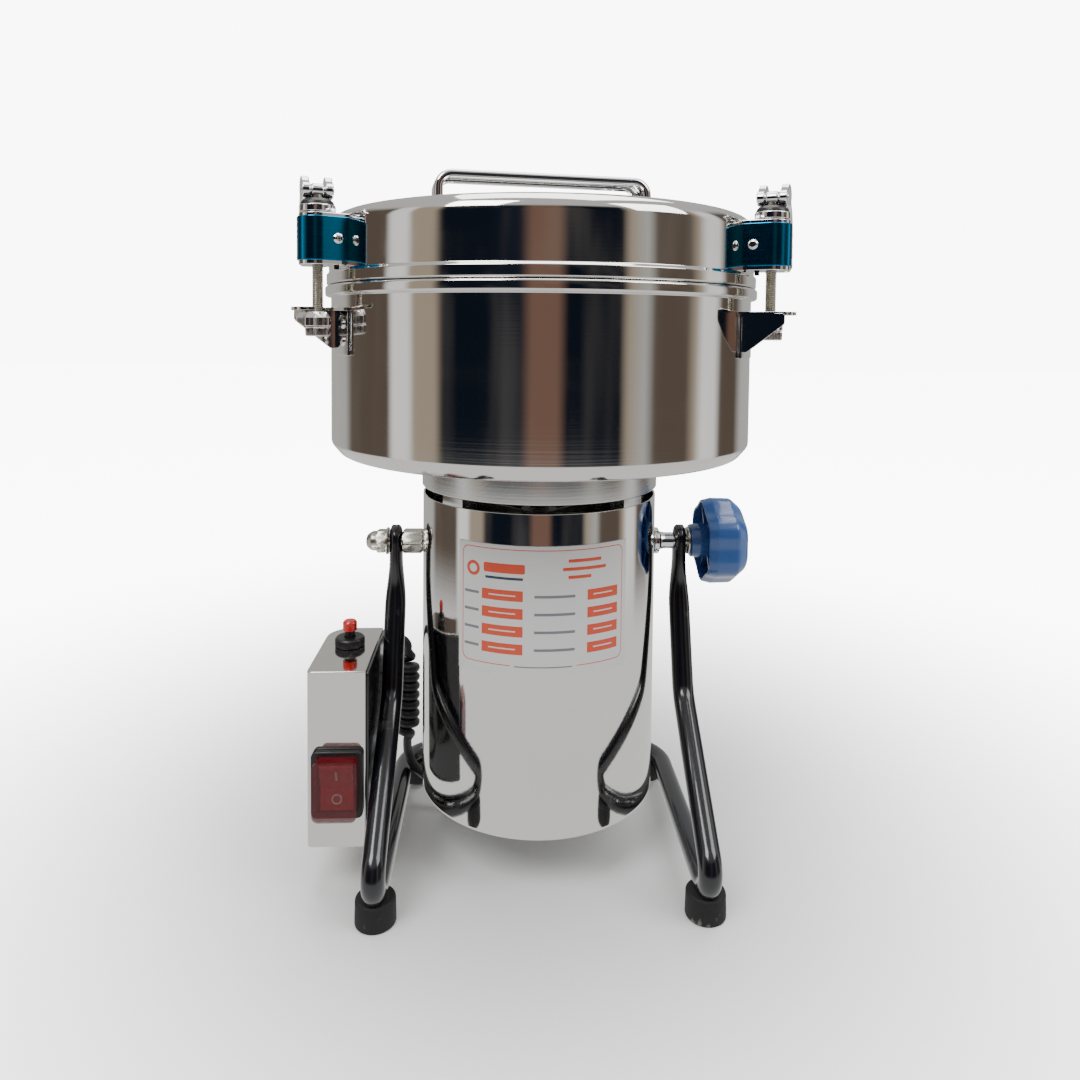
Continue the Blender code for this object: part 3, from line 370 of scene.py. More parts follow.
# Lid --------------------------------------------------------------------------
# A spun stainless cover with a rounded shoulder and a rolled bead that meets the bowl's rim.
LID_R, LID_SHEET, BEAD_R, SHOULDER_TOP, CROWN = 124.7, 1.2, 126.0, 373.0, 375.3
piece("lid_cover", lathe(eased(
    [(LID_R - LID_SHEET, RIM_TOP + 0.3), (BEAD_R, RIM_TOP + 0.3), (BEAD_R, 339.4), (LID_R, 340.8),
     (LID_R, SHOULDER_TOP), (80, CROWN - 0.95), (0, CROWN), (0, CROWN - LID_SHEET),
     (80, CROWN - 0.95 - LID_SHEET), (LID_R - LID_SHEET, SHOULDER_TOP - LID_SHEET)],
    [0.2, 1.4, 0.9, 0.8, 9, 60, 0, 0, 60, 7.8], 10), 192),
    mirror_steel, "lid", "lid_shell")


# Motor housing and neck -------------------------------------------------------
# A seamed stainless tube with its lower edge turned in, hung from a cast and turned aluminium ring.
# Four long air slots are left between the ring and the tube.
HOUSING_R, HOUSING_BOTTOM, HOUSING_TOP, SHEET = 70.4, 34.0, 212.0, 1.2
housing_steel = polished("housing_steel", (0.82, 0.81, 0.79), 0.05, ring=0.006, dent=0.09)
piece("motor_casing", lathe(eased(
    [(64, HOUSING_BOTTOM), (HOUSING_R, HOUSING_BOTTOM), (HOUSING_R, HOUSING_TOP),
     (HOUSING_R - SHEET, HOUSING_TOP), (HOUSING_R - SHEET, HOUSING_BOTTOM + SHEET),
     (64, HOUSING_BOTTOM + SHEET)], [0.2, 2.2, 0.4, 0.4, 1, 0.2]), 160),
    housing_steel, "head", "motor_housing")

cast = Look("turned_aluminium", Metallic=1.0)
grain = cast.noise(cast.stretched(8.0, 8.0, 1500.0), 1.0, 2.0)
cast.mottled(grain, (0.60, 0.60, 0.59), (0.74, 0.74, 0.73), 0.22, 0.10)
cast.bump(grain, 0.02)
NECK_R, NECK_TOP, SLOT_TOP, POSTS = 71.0, 237.7, 216.7, 60.5
ring = lathe(eased([(9, 231), (66, 231), (67.5, SLOT_TOP), (NECK_R, SLOT_TOP), (NECK_R, NECK_TOP),
                    (9, NECK_TOP)], [0.2, 1.5, 0.3, 0.7, 0.7, 0.2]), 160)
land = eased([(67.5, 205), (69, 205), (69, HOUSING_TOP + 0.3), (NECK_R, HOUSING_TOP + 0.3),
              (NECK_R, SLOT_TOP + 0.1), (67.5, SLOT_TOP + 0.1)], 0.2, 2)
lands = lathe(land, 6, 45 - 6.5, 13).around(4)
posts = lathe([(0, 148.5), (4.8, 148.5), (4.8, 233), (0, 233)], 24).moved(POSTS).around(4, 45)
seat = lathe([(16.1, 221), (20, 221), (20, 232), (16.1, 232)], 64)
piece("cast_neck_ring", ring + lands + posts + seat, cast, "head", "motor_upper_bracket")


# Stand ------------------------------------------------------------------------
# One bent steel tube, powder coated gloss black: up the left leg, along the floor, across the back and
# up the right leg. Its two ends are pressed flat and rounded to take the pivots.
def spaced(points, step):
    """The same line with points at equal lengths along it."""
    points = np.array(points, float)
    along = np.concatenate(([0], np.cumsum(np.linalg.norm(np.diff(points, axis=0), axis=1))))
    even = np.linspace(0, along[-1], max(2, round(along[-1] / step) + 1))
    return np.stack([np.interp(even, along, points[:, k]) for k in range(3)], -1)


def carried(path, section, side=(1, 0, 0), shut=True):
    """A section carried along a path: point = path + across * u + up * v. `across` starts as side and
    turns only as much as the path does; `shut` closes the section and both ends."""
    path = np.array(path, float)
    ahead = np.gradient(path, axis=0)
    ahead /= np.linalg.norm(ahead, axis=1)[:, None]
    across, now = np.empty_like(path), np.array(side, float)
    for k, way in enumerate(ahead):
        now = now - way * (now @ way)
        now /= np.linalg.norm(now)
        across[k] = now
    section = np.broadcast_to(section, (len(path), *np.shape(section)[-2:]))
    grid = (path[:, None] + across[:, None] * section[..., :1]
            + np.cross(ahead, across)[:, None] * section[..., 1:])
    if shut:
        ends = [np.broadcast_to(ring.mean(0), (1, *ring.shape)) for ring in (grid[0], grid[-1])]
        grid = np.concatenate((ends[0], grid, ends[1]))
    return woven(grid, round_v=shut)


def circle(radius, sides=24):
    a = math.tau * np.arange(sides) / sides
    return np.stack((radius * np.cos(a), radius * np.sin(a)), -1)


gloss_black = Look("gloss_black_powder_coat", Coat_Weight=0.6, Coat_Roughness=0.05)
speck = gloss_black.grain(55.0, 4.0)
gloss_black.set({"Base_Color": gloss_black.mix(gloss_black.step(speck, 0.66, 0.74), (0.0065, 0.0075, 0.012),
                                               (0.05, 0.05, 0.055)),
                 "Roughness": 0.14 + speck * 0.12})
gloss_black.bump(gloss_black.grain(420.0, 1.0), 0.03)
LEG_X, LEG_TOP, TUBE_R, BLADE_HALF, BLADE_HIGH, PRESSED = 87.0, 190.0, 6.3, 4.0, 8.3, 30.0
left_leg = [(-LEG_X, 0, LEG_TOP), (-LEG_X, 0, 152), (-LEG_X, -19, 92), (-LEG_X, -109, 16), (-LEG_X, 65, 16)]
corners = np.array(left_leg + [(-x, y, z) for x, y, z in left_leg[::-1]], float)
stand_path = spaced(eased(corners, [0, 60, 25, 11, 25, 25, 11, 25, 60, 0], 16, closed=False), 2.0)
depth = LEG_TOP - stand_path[:, 2]
flat = 1 - np.clip((depth - 20) / PRESSED, 0, 1)
flat = flat ** 2 * (3 - 2 * flat)
tip = np.sqrt(1 - (1 - np.clip(depth / BLADE_HIGH, 0, 1)) ** 2)
wide = (TUBE_R + (BLADE_HALF - TUBE_R) * flat) * (0.55 + 0.45 * tip)
tall = (TUBE_R + (BLADE_HIGH - TUBE_R) * flat) * tip
piece("bent_tube_stand", carried(stand_path, circle(1.0, 32)[None] * np.stack((wide, tall), -1)[:, None]),
      gloss_black, "stand", "stand_tube", sharp=60)

# Four moulded rubber feet, a little wider at the floor, each screwed up into the tube from below.
rubber = Look("matt_rubber")
grit = rubber.grain(900.0, 3.0)
scuff = rubber.grain(160.0, 4.0)
worn = rubber.step(scuff, 0.60, 0.72) * rubber.step(0.006 - rubber.z, -0.004, 0.004)
rubber.set({"Base_Color": rubber.mix(worn, (0.013, 0.013, 0.015), (0.20, 0.19, 0.18)),
            "Roughness": 0.62 + grit * 0.2})
rubber.bump(grit, 0.06)
foot = lathe(eased([(0, 4.2), (4.6, 4.2), (4.6, 0), (10.9, 0), (10.6, 13.8), (0, 13.8)],
                   [0, 0.2, 0.5, 1.1, 1.6, 0]), 64)
zinc = Look("zinc_plate", Metallic=1.0)
cloudy = zinc.grain(300.0, 4.0)
zinc.mottled(cloudy, (0.50, 0.475, 0.42), (0.62, 0.60, 0.55), 0.20, 0.16)
zinc.bump(cloudy, 0.02)
sole_screw = lathe(eased([(0, 1.6), (3.6, 1.6), (3.6, 4.2), (0, 4.2)], [0, 0.9, 0.2, 0]), 32)
for end, (x, y) in {"front": (87, -81), "rear": (79.2, 57.7)}.items():
    for hand, side in (("left", -1), ("right", 1)):
        piece(f"foot_{end}_{hand}", foot.moved(side * x, y), rubber, "stand",
              f"rubber_foot_{end}_{hand}")
        piece(f"foot_screw_{end}_{hand}", sole_screw.moved(side * x, y), zinc, "stand")


# Curly cord -------------------------------------------------------------------
# A short curly lead from the control box round to the underside of the motor.
# TURNS was lowered to ease the bends at the curl's ends, not counted. The declared length is the
# route's own, so it is no independent figure.
def through(points, steps):
    """A Catmull-Rom curve through the points, `steps` to each span."""
    p = np.array(points, float)
    p = np.vstack((2 * p[0] - p[1], p, 2 * p[-1] - p[-2]))
    t = np.arange(steps)[:, None] / steps
    spans = [0.5 * (2 * b + (c - a) * t + (2 * a - 5 * b + 4 * c - d) * t ** 2
                    + (3 * b - a - 3 * c + d) * t ** 3) for a, b, c, d in zip(p, p[1:], p[2:], p[3:])]
    return np.vstack(spans + [p[-2:-1]])


GX, GY, GZ = -102.0, 6.0, 112.0            # gland on the box
MX, MY, MZ = -46.0, 16.0, 35.2             # gland under the motor
CURL_X, CURL_Y, CURL_TOP, CURL_END = -84.0, 34.0, 98.3, 38.7
CORD_R, CURL_TURN_R, TURNS = 2.8, 5.4, 8.0
out_y = GY + 11.3
upper = through([(GX, out_y, GZ), (GX, out_y + 5, GZ), (GX + 2, out_y + 11, GZ - 0.8),
                 (GX + 8, CURL_Y - 1.2, GZ - 2.6), (CURL_X - 3, CURL_Y, GZ - 6.5),
                 (CURL_X, CURL_Y, 102), (CURL_X, CURL_Y, CURL_TOP)], 12)
lower = through([(CURL_X, CURL_Y, CURL_END), (CURL_X, CURL_Y, 35), (CURL_X + 0.8, CURL_Y - 0.4, 29),
                 (CURL_X + 5, CURL_Y - 2.6, 22), (-70, 27.5, 16.5), (-59, 22.2, 13.5),
                 (MX - 4, MY + 2, 15.5), (MX, MY, 19.5), (MX, MY, MZ - 11.3)], 12)
t = np.linspace(0, 1, 900)
grow = np.clip(np.minimum(t, 1 - t) / 0.13, 0, 1)
grow = grow ** 2 * (3 - 2 * grow)                 # turning, radius and fall all change gently at the ends
a = math.tau * TURNS * np.cumsum(grow) / grow.sum()
fall = np.cumsum(1.5 - 0.5 * grow)
fall = CURL_TOP + (CURL_END - CURL_TOP) * (fall - fall[0]) / (fall[-1] - fall[0])
grow = CURL_TURN_R * grow ** 0.7
curl = np.stack((CURL_X + grow * np.cos(a), CURL_Y + grow * np.sin(a), fall), -1)
cord_path = spaced(np.vstack((upper, curl[1:-1], lower)), 1.1)
cord_rubber = Look("cord_sheath", Coat_Weight=0.25, Coat_Roughness=0.3)
skin_grain = cord_rubber.grain(420.0, 3.0)
cord_rubber.mottled(skin_grain, (0.010, 0.011, 0.014), (0.020, 0.021, 0.026), 0.38, 0.16)
cord_rubber.bump(skin_grain, 0.03)
cord = piece("curly_cord", carried(cord_path, circle(CORD_R, 16), side=(1, 0, 0)), cord_rubber, None,
             ("cord_tail_box", "cord_coil", "cord_tail_motor"), sharp=60)
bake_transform(cord)

# Each end leaves through a ribbed moulded gland.
black_plastic = Look("black_moulding")
pebble = black_plastic.grain(1500.0, 2.0)
black_plastic.mottled(pebble, (0.010, 0.010, 0.012), (0.018, 0.018, 0.020), 0.30, 0.16)
black_plastic.bump(pebble, 0.02)
ribs = [(radius - narrower * k, 4.6 + 0.8 * k + rise) for k in range(7) for radius, narrower, rise in (
    (4.3, 0.07, 0.0), (4.3, 0.07, 0.45), (3.75, 0.05, 0.5), (3.75, 0.05, 0.75))]
gland = lathe(np.array([(3.1, -6), (4.1, -6), (4.1, 0.3), (5.7, 0.3), (6.1, 0.8), (6.1, 3.2), (5.7, 3.7)]
                       + ribs + [(3.6, 10.8), (3.1, 10.8)], float), 48)
piece("box_gland", gland.turned("X", -90).moved(GX, GY, GZ), black_plastic, "stand",
      "cord_gland_box", sharp=30)
piece("motor_gland", gland.turned("X", 180).moved(MX, MY, MZ), black_plastic, "head",
      "cord_gland_motor", sharp=30)


# Control box ------------------------------------------------------------------
# A bright sheet box on the left leg with one big rounded edge, closed by a gloss black plate on four
# dome-headed screws. The switch sits in its front and the breaker in its top.
def prism(outline, low, high):
    """An (x, y) outline raised from low to high; its two flat ends stay outlines."""
    xy = np.array(outline, float)
    x, y = xy.T
    xy = xy if (x * np.roll(y, -1) - np.roll(x, -1) * y).sum() > 0 else xy[::-1]
    count = len(xy)
    i = np.arange(count)
    points = np.vstack([np.column_stack((xy, np.full(count, level))) for level in (low, high)])
    quads = np.stack((i, (i + 1) % count, (i + 1) % count + count, i + count), -1)
    return Shape(points, quads, [i[::-1], i + count])


def rectangle(half_x, half_y, radius, steps=6):
    corners = [(-half_x, -half_y), (half_x, -half_y), (half_x, half_y), (-half_x, half_y)]
    return eased(corners, radius, steps)


def dome(radius, height, sides=32):
    """A screw head along +Z: a shallow dome on a short straight edge."""
    return lathe(eased([(0, 0), (radius, 0), (radius, height * 0.35), (radius * 0.62, height), (0, height)],
                       [0, 0, radius * 0.12, radius * 0.4, 0]), sides)


def cross(reach, thick):
    """A cross recess's four arms, drawn as a thin raised plus; in the dark finish it is painted shade."""
    arm, half = reach, reach * 0.20
    plus = [(half, half), (half, arm), (-half, arm), (-half, half), (-arm, half), (-arm, -half),
            (-half, -half), (-half, -arm), (half, -arm), (half, -half), (arm, -half), (arm, half)]
    return prism(plus, 0, thick)


# A near-black finish. On the switch's well, the screws' cross recesses and the levers' oval slots it is
# painted shade in place of the hollows; on the clamps' small pins it is their own black.
dark = Look("black_pin_and_painted_recess_shade", Base_Color=(0.012, 0.012, 0.013), Metallic=0.6)
dark.set({"Roughness": 0.45 + dark.grain(500.0) * 0.2})
chrome = Look("chrome_plate", Metallic=1.0, Base_Color=(0.86, 0.86, 0.87))
misty = chrome.grain(130.0, 4.0)
chrome.set({"Roughness": 0.03 + misty * 0.07})
chrome.bump(chrome.grain(70.0, 1.0), 0.10)
X0, Y0, Z0, X1, Y1, Z1 = -127.5, -60.0, 26.5, -95.7, 6.0, 124.0
shell = prism(eased([(X0, Y0), (X1, Y0), (X1, Y1), (X0, Y1)], [3, 0.5, 0.5, 14], 8), Z0, Z1)
piece("box_shell", shell, mirror_steel, "stand", "control_box_shell", ease=0.9)
cover = prism(rectangle((Z1 - Z0) / 2 - 0.4, (Y1 - Y0) / 2 - 0.4, 2), 0, 1.3)
piece("box_cover", cover.turned("Y", 90).moved(X1 + 0.3, (Y0 + Y1) / 2, (Z0 + Z1) / 2), gloss_black,
      "stand", "control_box_cover", ease=0.35)

# The switch: a bezel and a hood round the opening, a clear dark-red cover over it, and a red rocker that
# tips on its own body. The rocker carries only the plain on and off marks, in white.
SX, SZ, FRONT = -110.5, 63.0, Y0 - 0.3
facing = lambda shape: shape.turned("X", 90).moved(SX, FRONT, SZ)


def frame_of(half_x, half_z, radius, wall, near, far):
    """A rectangular ring: the outline pulled in by `wall` for its opening."""
    outer, inner = (rectangle(half_x - d, half_z - d, max(radius - d, 0.4)) for d in (0, wall))
    loop = np.stack([np.column_stack((o, np.full(len(o), level)))
                     for o, level in ((outer, near), (outer, far), (inner, far), (inner, near))], 1)
    return woven(loop, round_u=True, round_v=True)


bezel = frame_of(13.9, 18.3, 3, 3.6, 0, 3.4)
piece("switch_bezel", facing(bezel), black_plastic, "stand", "switch_body", ease=0.5)
# A near-black plate fills the bezel's opening round the rocker: painted shade for the switch's recess.
piece("switch_well", facing(prism(rectangle(10.3, 14.4, 1), -1.0, 0.2)), dark, "stand")
clear_red = Look("clear_red_cover", Roughness=0.05, Coat_Weight=0.8, Coat_Roughness=0.03, IOR=1.45)
streak = clear_red.grain(120.0, 3.0)
clear_red.set({"Base_Color": clear_red.mix(streak, (0.16, 0.004, 0.010), (0.24, 0.008, 0.016)),
               "Alpha": 0.34 + streak * 0.12})
clear_red.bump(streak, 0.03)
sleeve = frame_of(11.9, 16.2, 3.5, 1.0, 3.7, 10.1) + prism(rectangle(11.9, 16.2, 3.5), 10.1, 11.0)
piece("switch_cover_clear", facing(sleeve), clear_red, "stand", "switch_cover", sharp=40)
red_plastic = Look("red_moulding", Coat_Weight=0.4, Coat_Roughness=0.08, Subsurface_Weight=0.06,
                   Subsurface_Radius=(0.003, 0.001, 0.001))
mottle = red_plastic.grain(240.0, 2.0)
red_plastic.mottled(mottle, (0.62, 0.014, 0.012), (0.76, 0.026, 0.020), 0.20, 0.12)
red_plastic.bump(mottle, 0.015)
side = eased([(-7.4, 12.6), (-7.9, 12.9), (-5.4, 0), (-7.9, -12.9), (-7.4, -13.1), (2, -9), (4, -3), (4, 3),
              (2, 9), (-7.0, 13.1)], [0, 0.2, 3, 0.2, 0, 1, 1, 1, 1, 0], 5)
tip_by = lambda shape: shape.turned("X", 8).moved(SX, FRONT + 3, SZ)
rocker = prism(side, -8.9, 8.9)
rocker.points = rocker.points[:, [2, 0, 1]]
piece("rocker_red", tip_by(rocker), red_plastic, "rocker", "switch_rocker", ease=0.4)
white_mark = Look("white_print", Base_Color=(0.82, 0.82, 0.80))
white_mark.set({"Roughness": 0.4 + white_mark.grain(600.0) * 0.1})
slope = math.degrees(math.atan2(2.5, 12.9))
on_mark = prism(rectangle(0.6, 3.0, 0.35), 0, 0.12).turned("X", 90 + slope).moved(0, -6.85, 6.9)
off_mark = (lathe([(2.0, 0), (2.9, 0), (2.9, 0.12), (2.0, 0.12)], 40).turned("X", 90 - slope)
            .moved(0, -6.85, -6.9))
piece("rocker_marks", tip_by(on_mark + off_mark), white_mark, "rocker")

# The motor's breaker: a knurled black collar on the box, and a press-to-reset plunger with a red cap.
BX, BY = -111.0, -22.0
collar = lathe(eased([(3.3, 0.3), (8.5, 0.3), (8.5, 4.2), (7.6, 5.2), (3.3, 5.2)],
                     [0.2, 0.3, 0.4, 0.5, 0.3]), 240)
x, y, z = collar.points.T
rim = (np.hypot(x, y) > 8.0) & (z > 0.9) & (z < 4.3)
knurl = 1 - np.where(rim, 0.30 * (1 + np.cos(60 * np.arctan2(y, x))) / 2 / 8.5, 0)
collar.points = np.column_stack((x * knurl, y * knurl, z))
piece("breaker_collar", collar.moved(BX, BY, Z1), black_plastic, "stand",
      "circuit_breaker", sharp=30)
cap = lathe(eased([(0, 0), (4.1, 0), (4.1, 4.6), (3.2, 5.8), (0, 6)], [0, 0.3, 0.5, 0.6, 0]), 48)
stem = lathe([(0, -4), (2.9, -4), (2.9, 0.1), (0, 0.1)], 32)
piece("reset_cap", cap.moved(BX, BY, Z1 + 9), red_plastic, "reset", "reset_button")
piece("reset_stem", stem.moved(BX, BY, Z1 + 9), black_plastic, "reset")


# Rating label -----------------------------------------------------------------
# A printed film stuck on the front of the housing. Its print is only blank bars: a rounded border, a
# header with a ring beside a bar, and two columns of red cells with a grey bar beside each.
LABEL_LOW, LABEL_HIGH, LABEL_TURN = 125.0, 195.0, 80.0
film = Look("printed_film", Roughness=0.30, Coat_Weight=0.4, Coat_Roughness=0.12)
across = film.node("ShaderNodeUVMap")
place = film.node("ShaderNodeSeparateXYZ", (), {0: across})
u, v = place * (HOUSING_R * math.radians(LABEL_TURN)), place.part("Y") * (LABEL_HIGH - LABEL_LOW)


def bar(middle_u, middle_v, half_u, half_v, corner=0.4):
    """1 inside a rounded rectangle: distance to a smaller rectangle, less its corner radius."""
    du = film.maths("MAXIMUM", abs(u - middle_u) - (half_u - corner), 0.0)
    dv = film.maths("MAXIMUM", abs(v - middle_v) - (half_v - corner), 0.0)
    away = film.maths("SQRT", du * du + dv * dv) - corner
    return film.step(0 - away, -0.06, 0.06)


def with_bars(under, colour, *bars):
    for shape in bars:
        under = film.mix(bar(*shape), under, colour)
    return under


orange, ink, grey_ink = (0.80, 0.09, 0.035), (0.03, 0.05, 0.10), (0.22, 0.23, 0.26)
paper = (0.83, 0.83, 0.83)
printed = film.mix(bar(49.1, 36.5, 46.5, 31.5, 4.0), paper, orange)
printed = film.mix(bar(49.1, 36.5, 46.0, 31.0, 3.6), printed, paper)
printed = with_bars(printed, paper, (49.1, 4.9, 18, 1.2))
printed = with_bars(printed, grey_ink, (49.1, 4.9, 15.5, 0.35, 0.2))
printed = with_bars(printed, orange, (27.5, 57.5, 11.5, 2.6, 1.0), (71.5, 62.0, 9.5, 0.9),
                    (71.5, 57.6, 12.5, 0.9), (68.5, 53.2, 6.5, 0.9))
printed = with_bars(printed, ink, (27.5, 52.2, 10.5, 0.7, 0.3))
from_mark = film.maths("SQRT", (u - 9.6) ** 2.0 + (v - 56.0) ** 2.0)
printed = film.mix(film.step(0.9 - abs(from_mark - 3.2), -0.06, 0.06), printed, orange)
for row in range(4):
    level = 43.0 - row * 9.6
    printed = with_bars(printed, orange, (26.5, level, 11.5, 2.9, 0.3), (82.5, level, 9.6, 2.9, 0.3))
    printed = with_bars(printed, paper, (26.5, level, 7.5, 0.35, 0.2), (82.5, level, 6.0, 0.35, 0.2))
    printed = with_bars(printed, grey_ink, (8.6, level, 4.6, 0.75, 0.3), (55.0, level, 11.0, 0.75, 0.3))
film.set({"Base_Color": printed})
film.bump(film.grain(260.0, 1.0), 0.015)
sides = 80
film_in, film_out = HOUSING_R + 0.3, HOUSING_R + 0.65
edge = np.array([(film_in, LABEL_LOW), (film_out, LABEL_LOW), (film_out, LABEL_HIGH), (film_in, LABEL_HIGH)])
label = piece("printed_label", lathe(edge, sides, -90 - LABEL_TURN / 2, LABEL_TURN), film, "head",
              "rating_label")
flat_map = label.data.uv_layers.new(name="label")
points = np.empty(len(label.data.vertices) * 3)
label.data.vertices.foreach_get("co", points)
points = (points.reshape(-1, 3) - AXIS) / MM
around = (np.degrees(np.arctan2(points[:, 1], points[:, 0])) + 90) / LABEL_TURN + 0.5
corner = np.empty(len(label.data.loops), int)
label.data.loops.foreach_get("vertex_index", corner)
up = (points[:, 2] - LABEL_LOW) / (LABEL_HIGH - LABEL_LOW)
flat_map.data.foreach_set("uv", np.stack((around[corner], up[corner]), -1).ravel())


# Tilting pivots ---------------------------------------------------------------
# On the left a hexagonal standoff with its stud, two washers and an acorn nut; on the right a turned
# spindle with a collar, whose thread the knob screws on to.
def six_sided(across_flats, profile, sides=72):
    """A hexagon bar trimmed by a turned outline: radius = the lesser of the hexagon's and the outline's."""
    profile = np.array(profile, float)
    a = math.tau * np.arange(sides) / sides
    flat = across_flats / 2 / np.cos((a + math.pi / 6) % (math.pi / 3) - math.pi / 6)
    radius = np.minimum(flat[:, None], profile[:, 0])
    grid = np.stack((radius * np.cos(a)[:, None], radius * np.sin(a)[:, None],
                     np.broadcast_to(profile[:, 1], radius.shape)), -1)
    return woven(grid, round_u=True, round_v=True)


PIVOT_Z = 180.0
out = lambda shape: shape.turned("Y", 90).moved(z=PIVOT_Z)
leg_in, leg_out = LEG_X - BLADE_HALF - 0.3, LEG_X + BLADE_HALF + 0.3
bar_profile = [(0, -leg_in), (6.6, -leg_in), (8, -leg_in + 0.8), (8, -71.5), (6.6, -70.7), (0, -70.7)]
piece("hexagon_standoff", out(six_sided(13.5, bar_profile) + lathe([(0, -100), (3.9, -100), (3.9, -70),
                                                                    (0, -70)], 32)),
      zinc, "head", "pivot_standoff_left")
washer = lathe(eased([(4.3, 0), (8.2, 0), (8.2, 1.4), (4.3, 1.4)], 0.35, 3), 64)
piece("pivot_washer_left", out(washer.moved(z=-leg_out - 1.5)), zinc, "head")
start = leg_out + 1.7
acorn_top = eased([(0, -start - 12), (3.4, -start - 12), (6.0, -start - 8.4), (6.0, -start - 3),
                   (0, -start - 3)], [0, 3.2, 3.6, 0, 0], 8)
nut = six_sided(13, [(0, -start - 5.5), (6.5, -start - 5.5), (7.6, -start - 4.7), (7.6, -start - 0.6),
                     (6.7, -start), (0, -start)])
piece("acorn_nut", out(nut + lathe(acorn_top, 64)), zinc, "head", "pivot_acorn_nut")
spindle = eased([(0, 60), (3.9, 60), (3.9, 70.7), (8, 70.7), (8, 73.6), (5.6, 74.6), (5, 77.5), (5, leg_in),
                 (3.9, leg_in), (3.9, 103), (0, 103)], [0, 0, 0.3, 0.6, 0.8, 1.5, 1.2, 0.3, 0.3, 0.5, 0])
piece("knob_spindle", out(lathe(spindle, 64)), chrome, "head", "pivot_spindle_right")
piece("pivot_washer_right", out(washer.moved(z=leg_out + 0.1)), zinc, "head")


# Tilt knob --------------------------------------------------------------------
# A six-lobed blue moulding on a brass insert: a domed face, a thin rim, and a hollow back with ribs
# round a stout neck.
blue_plastic = Look("blue_moulding", Coat_Weight=0.5, Coat_Roughness=0.06, Subsurface_Weight=0.05,
                    Subsurface_Radius=(0.001, 0.002, 0.004))
cloud = blue_plastic.grain(60.0, 3.0)
blue_plastic.mottled(cloud, (0.045, 0.130, 0.40), (0.060, 0.160, 0.46), 0.20, 0.10)
blue_plastic.bump(blue_plastic.grain(700.0, 2.0), 0.02)
KNOB_R, LOBE, LOBES, BACK, FACE, NEAR = 25.2, 0.052, 6, 100.5, 126.0, 93.2
# radius, distance along the spindle, and how much of the lobes shows there
knob_profile = eased([(4.2, NEAR, 0), (9.8, NEAR, 0), (10.4, 98.5, 0), (10.4, 118.5, 0), (21.2, 118.5, 1),
                      (22.4, BACK, 1), (23.9, BACK, 1), (KNOB_R, 106, 1), (24.9, 118, 1), (18.5, FACE, 0.8),
                      (0, FACE, 0), (0, 105, 0), (4.2, 105, 0)],
                     [0.3, 0.8, 2, 1.5, 1.5, 0.7, 0.7, 5, 4, 9, 0, 0, 0], 8)
a = math.tau * np.arange(216) / 216
reach = knob_profile[:, 0] * (1 + LOBE * knob_profile[:, 2] * np.cos(LOBES * a)[:, None])
knob = woven(np.stack((reach * np.cos(a)[:, None], reach * np.sin(a)[:, None],
                       np.broadcast_to(knob_profile[:, 1], reach.shape)), -1), round_u=True, round_v=True)


rib = prism([(10.0, -0.8), (22.0, -0.8), (22.0, 0.8), (10.0, 0.8)], 103.5, 119.5)
piece("lobed_knob", out(knob + rib.around(LOBES, 30)), blue_plastic, "knob", "tilt_knob",
      sharp=30)


# Bowl hooks -------------------------------------------------------------------
# Three pressed stainless hooks round the bowl: a slotted ledge, a gusset on one side and
# a flange on the wall, held by two dome-headed screws.
CLAMPS = {"front_left": 210, "front_right": 330, "rear": 90}
ROD_AT, HOOK_TIP, HALF, LEDGE_LOW, LEDGE_HIGH = 137.0, 150.0, 10.5, 318.3, 320.1
wall = BOWL_R + 0.2
SLOT_HALF, SLOT_DEEP = 4.8, 3.7
t = np.radians(np.linspace(180, 360, 17))
slot = np.column_stack((ROD_AT + SLOT_HALF * np.cos(t), SLOT_DEEP * np.sin(t)))
ledge = eased([(wall - 0.6, HALF), (wall - 0.6, -HALF), (HOOK_TIP, -HALF), (HOOK_TIP, HALF)],
              [0, 0, 8.6, 8.0], 8)
ledge_outline = np.vstack((ledge, [(ROD_AT + SLOT_HALF, HALF)], slot[::-1], [(ROD_AT - SLOT_HALF, HALF)]))
gusset_outline = eased([(wall, 319.2), (HOOK_TIP - 3.5, 319.2), (HOOK_TIP - 3.5, 313.5),
                        (wall + 3.5, 298.5), (wall, 298.5)], [0, 1.5, 2.5, 1.5, 0.4])
flange = lathe(eased([(wall, 295.2), (wall + 1.6, 295.2), (wall + 1.6, 319.4), (wall, 319.4)], 0.3, 3), 12,
               -HALF * 0.46, HALF * 0.92)
for name, azimuth in CLAMPS.items():
    hook = (prism(ledge_outline, LEDGE_LOW, LEDGE_HIGH) + flange
            + prism(gusset_outline, -1.6, 0).turned("X", 90).moved(y=-HALF))
    piece(f"hook_{name}", hook.turned("Z", azimuth), mirror_steel, "head",
          f"bowl_hook_{name}", ease=0.35)
    for low, level in (("upper", 311.5), ("lower", 302.5)):
        head = dome(2.5, 1.3).turned("Y", 90).moved(wall + 1.5, 0, level).turned("Z", azimuth + 2.2)
        piece(f"hook_screw_{name}_{low}", head, chrome, "head")


# Clamp housings ---------------------------------------------------------------
# On the lid's wall each rod runs in a bright block between two thin plates, wrapped by a blue anodised
# cover that is bent round the rod and held by a cross-head screw on each side and a small pin.
blue_anodised = Look("blue_anodised", Metallic=1.0)
fine = blue_anodised.noise(blue_anodised.stretched(1.0, 1.0, 14.0), 90.0, 3.0)
blue_anodised.mottled(fine, (0.0, 0.17, 0.36), (0.0, 0.24, 0.46), 0.13, 0.12)
blue_anodised.bump(fine, 0.015)


def rounded_block(half, low, high, start):
    """A block from the lid's wall out to a round end about the rod."""
    t = np.radians(np.linspace(-90, 90, 33))
    nose = np.column_stack((ROD_AT + half * np.cos(t), half * np.sin(t)))
    return prism(np.vstack(([(start, -half)], nose, [(start, half)])), low, high)


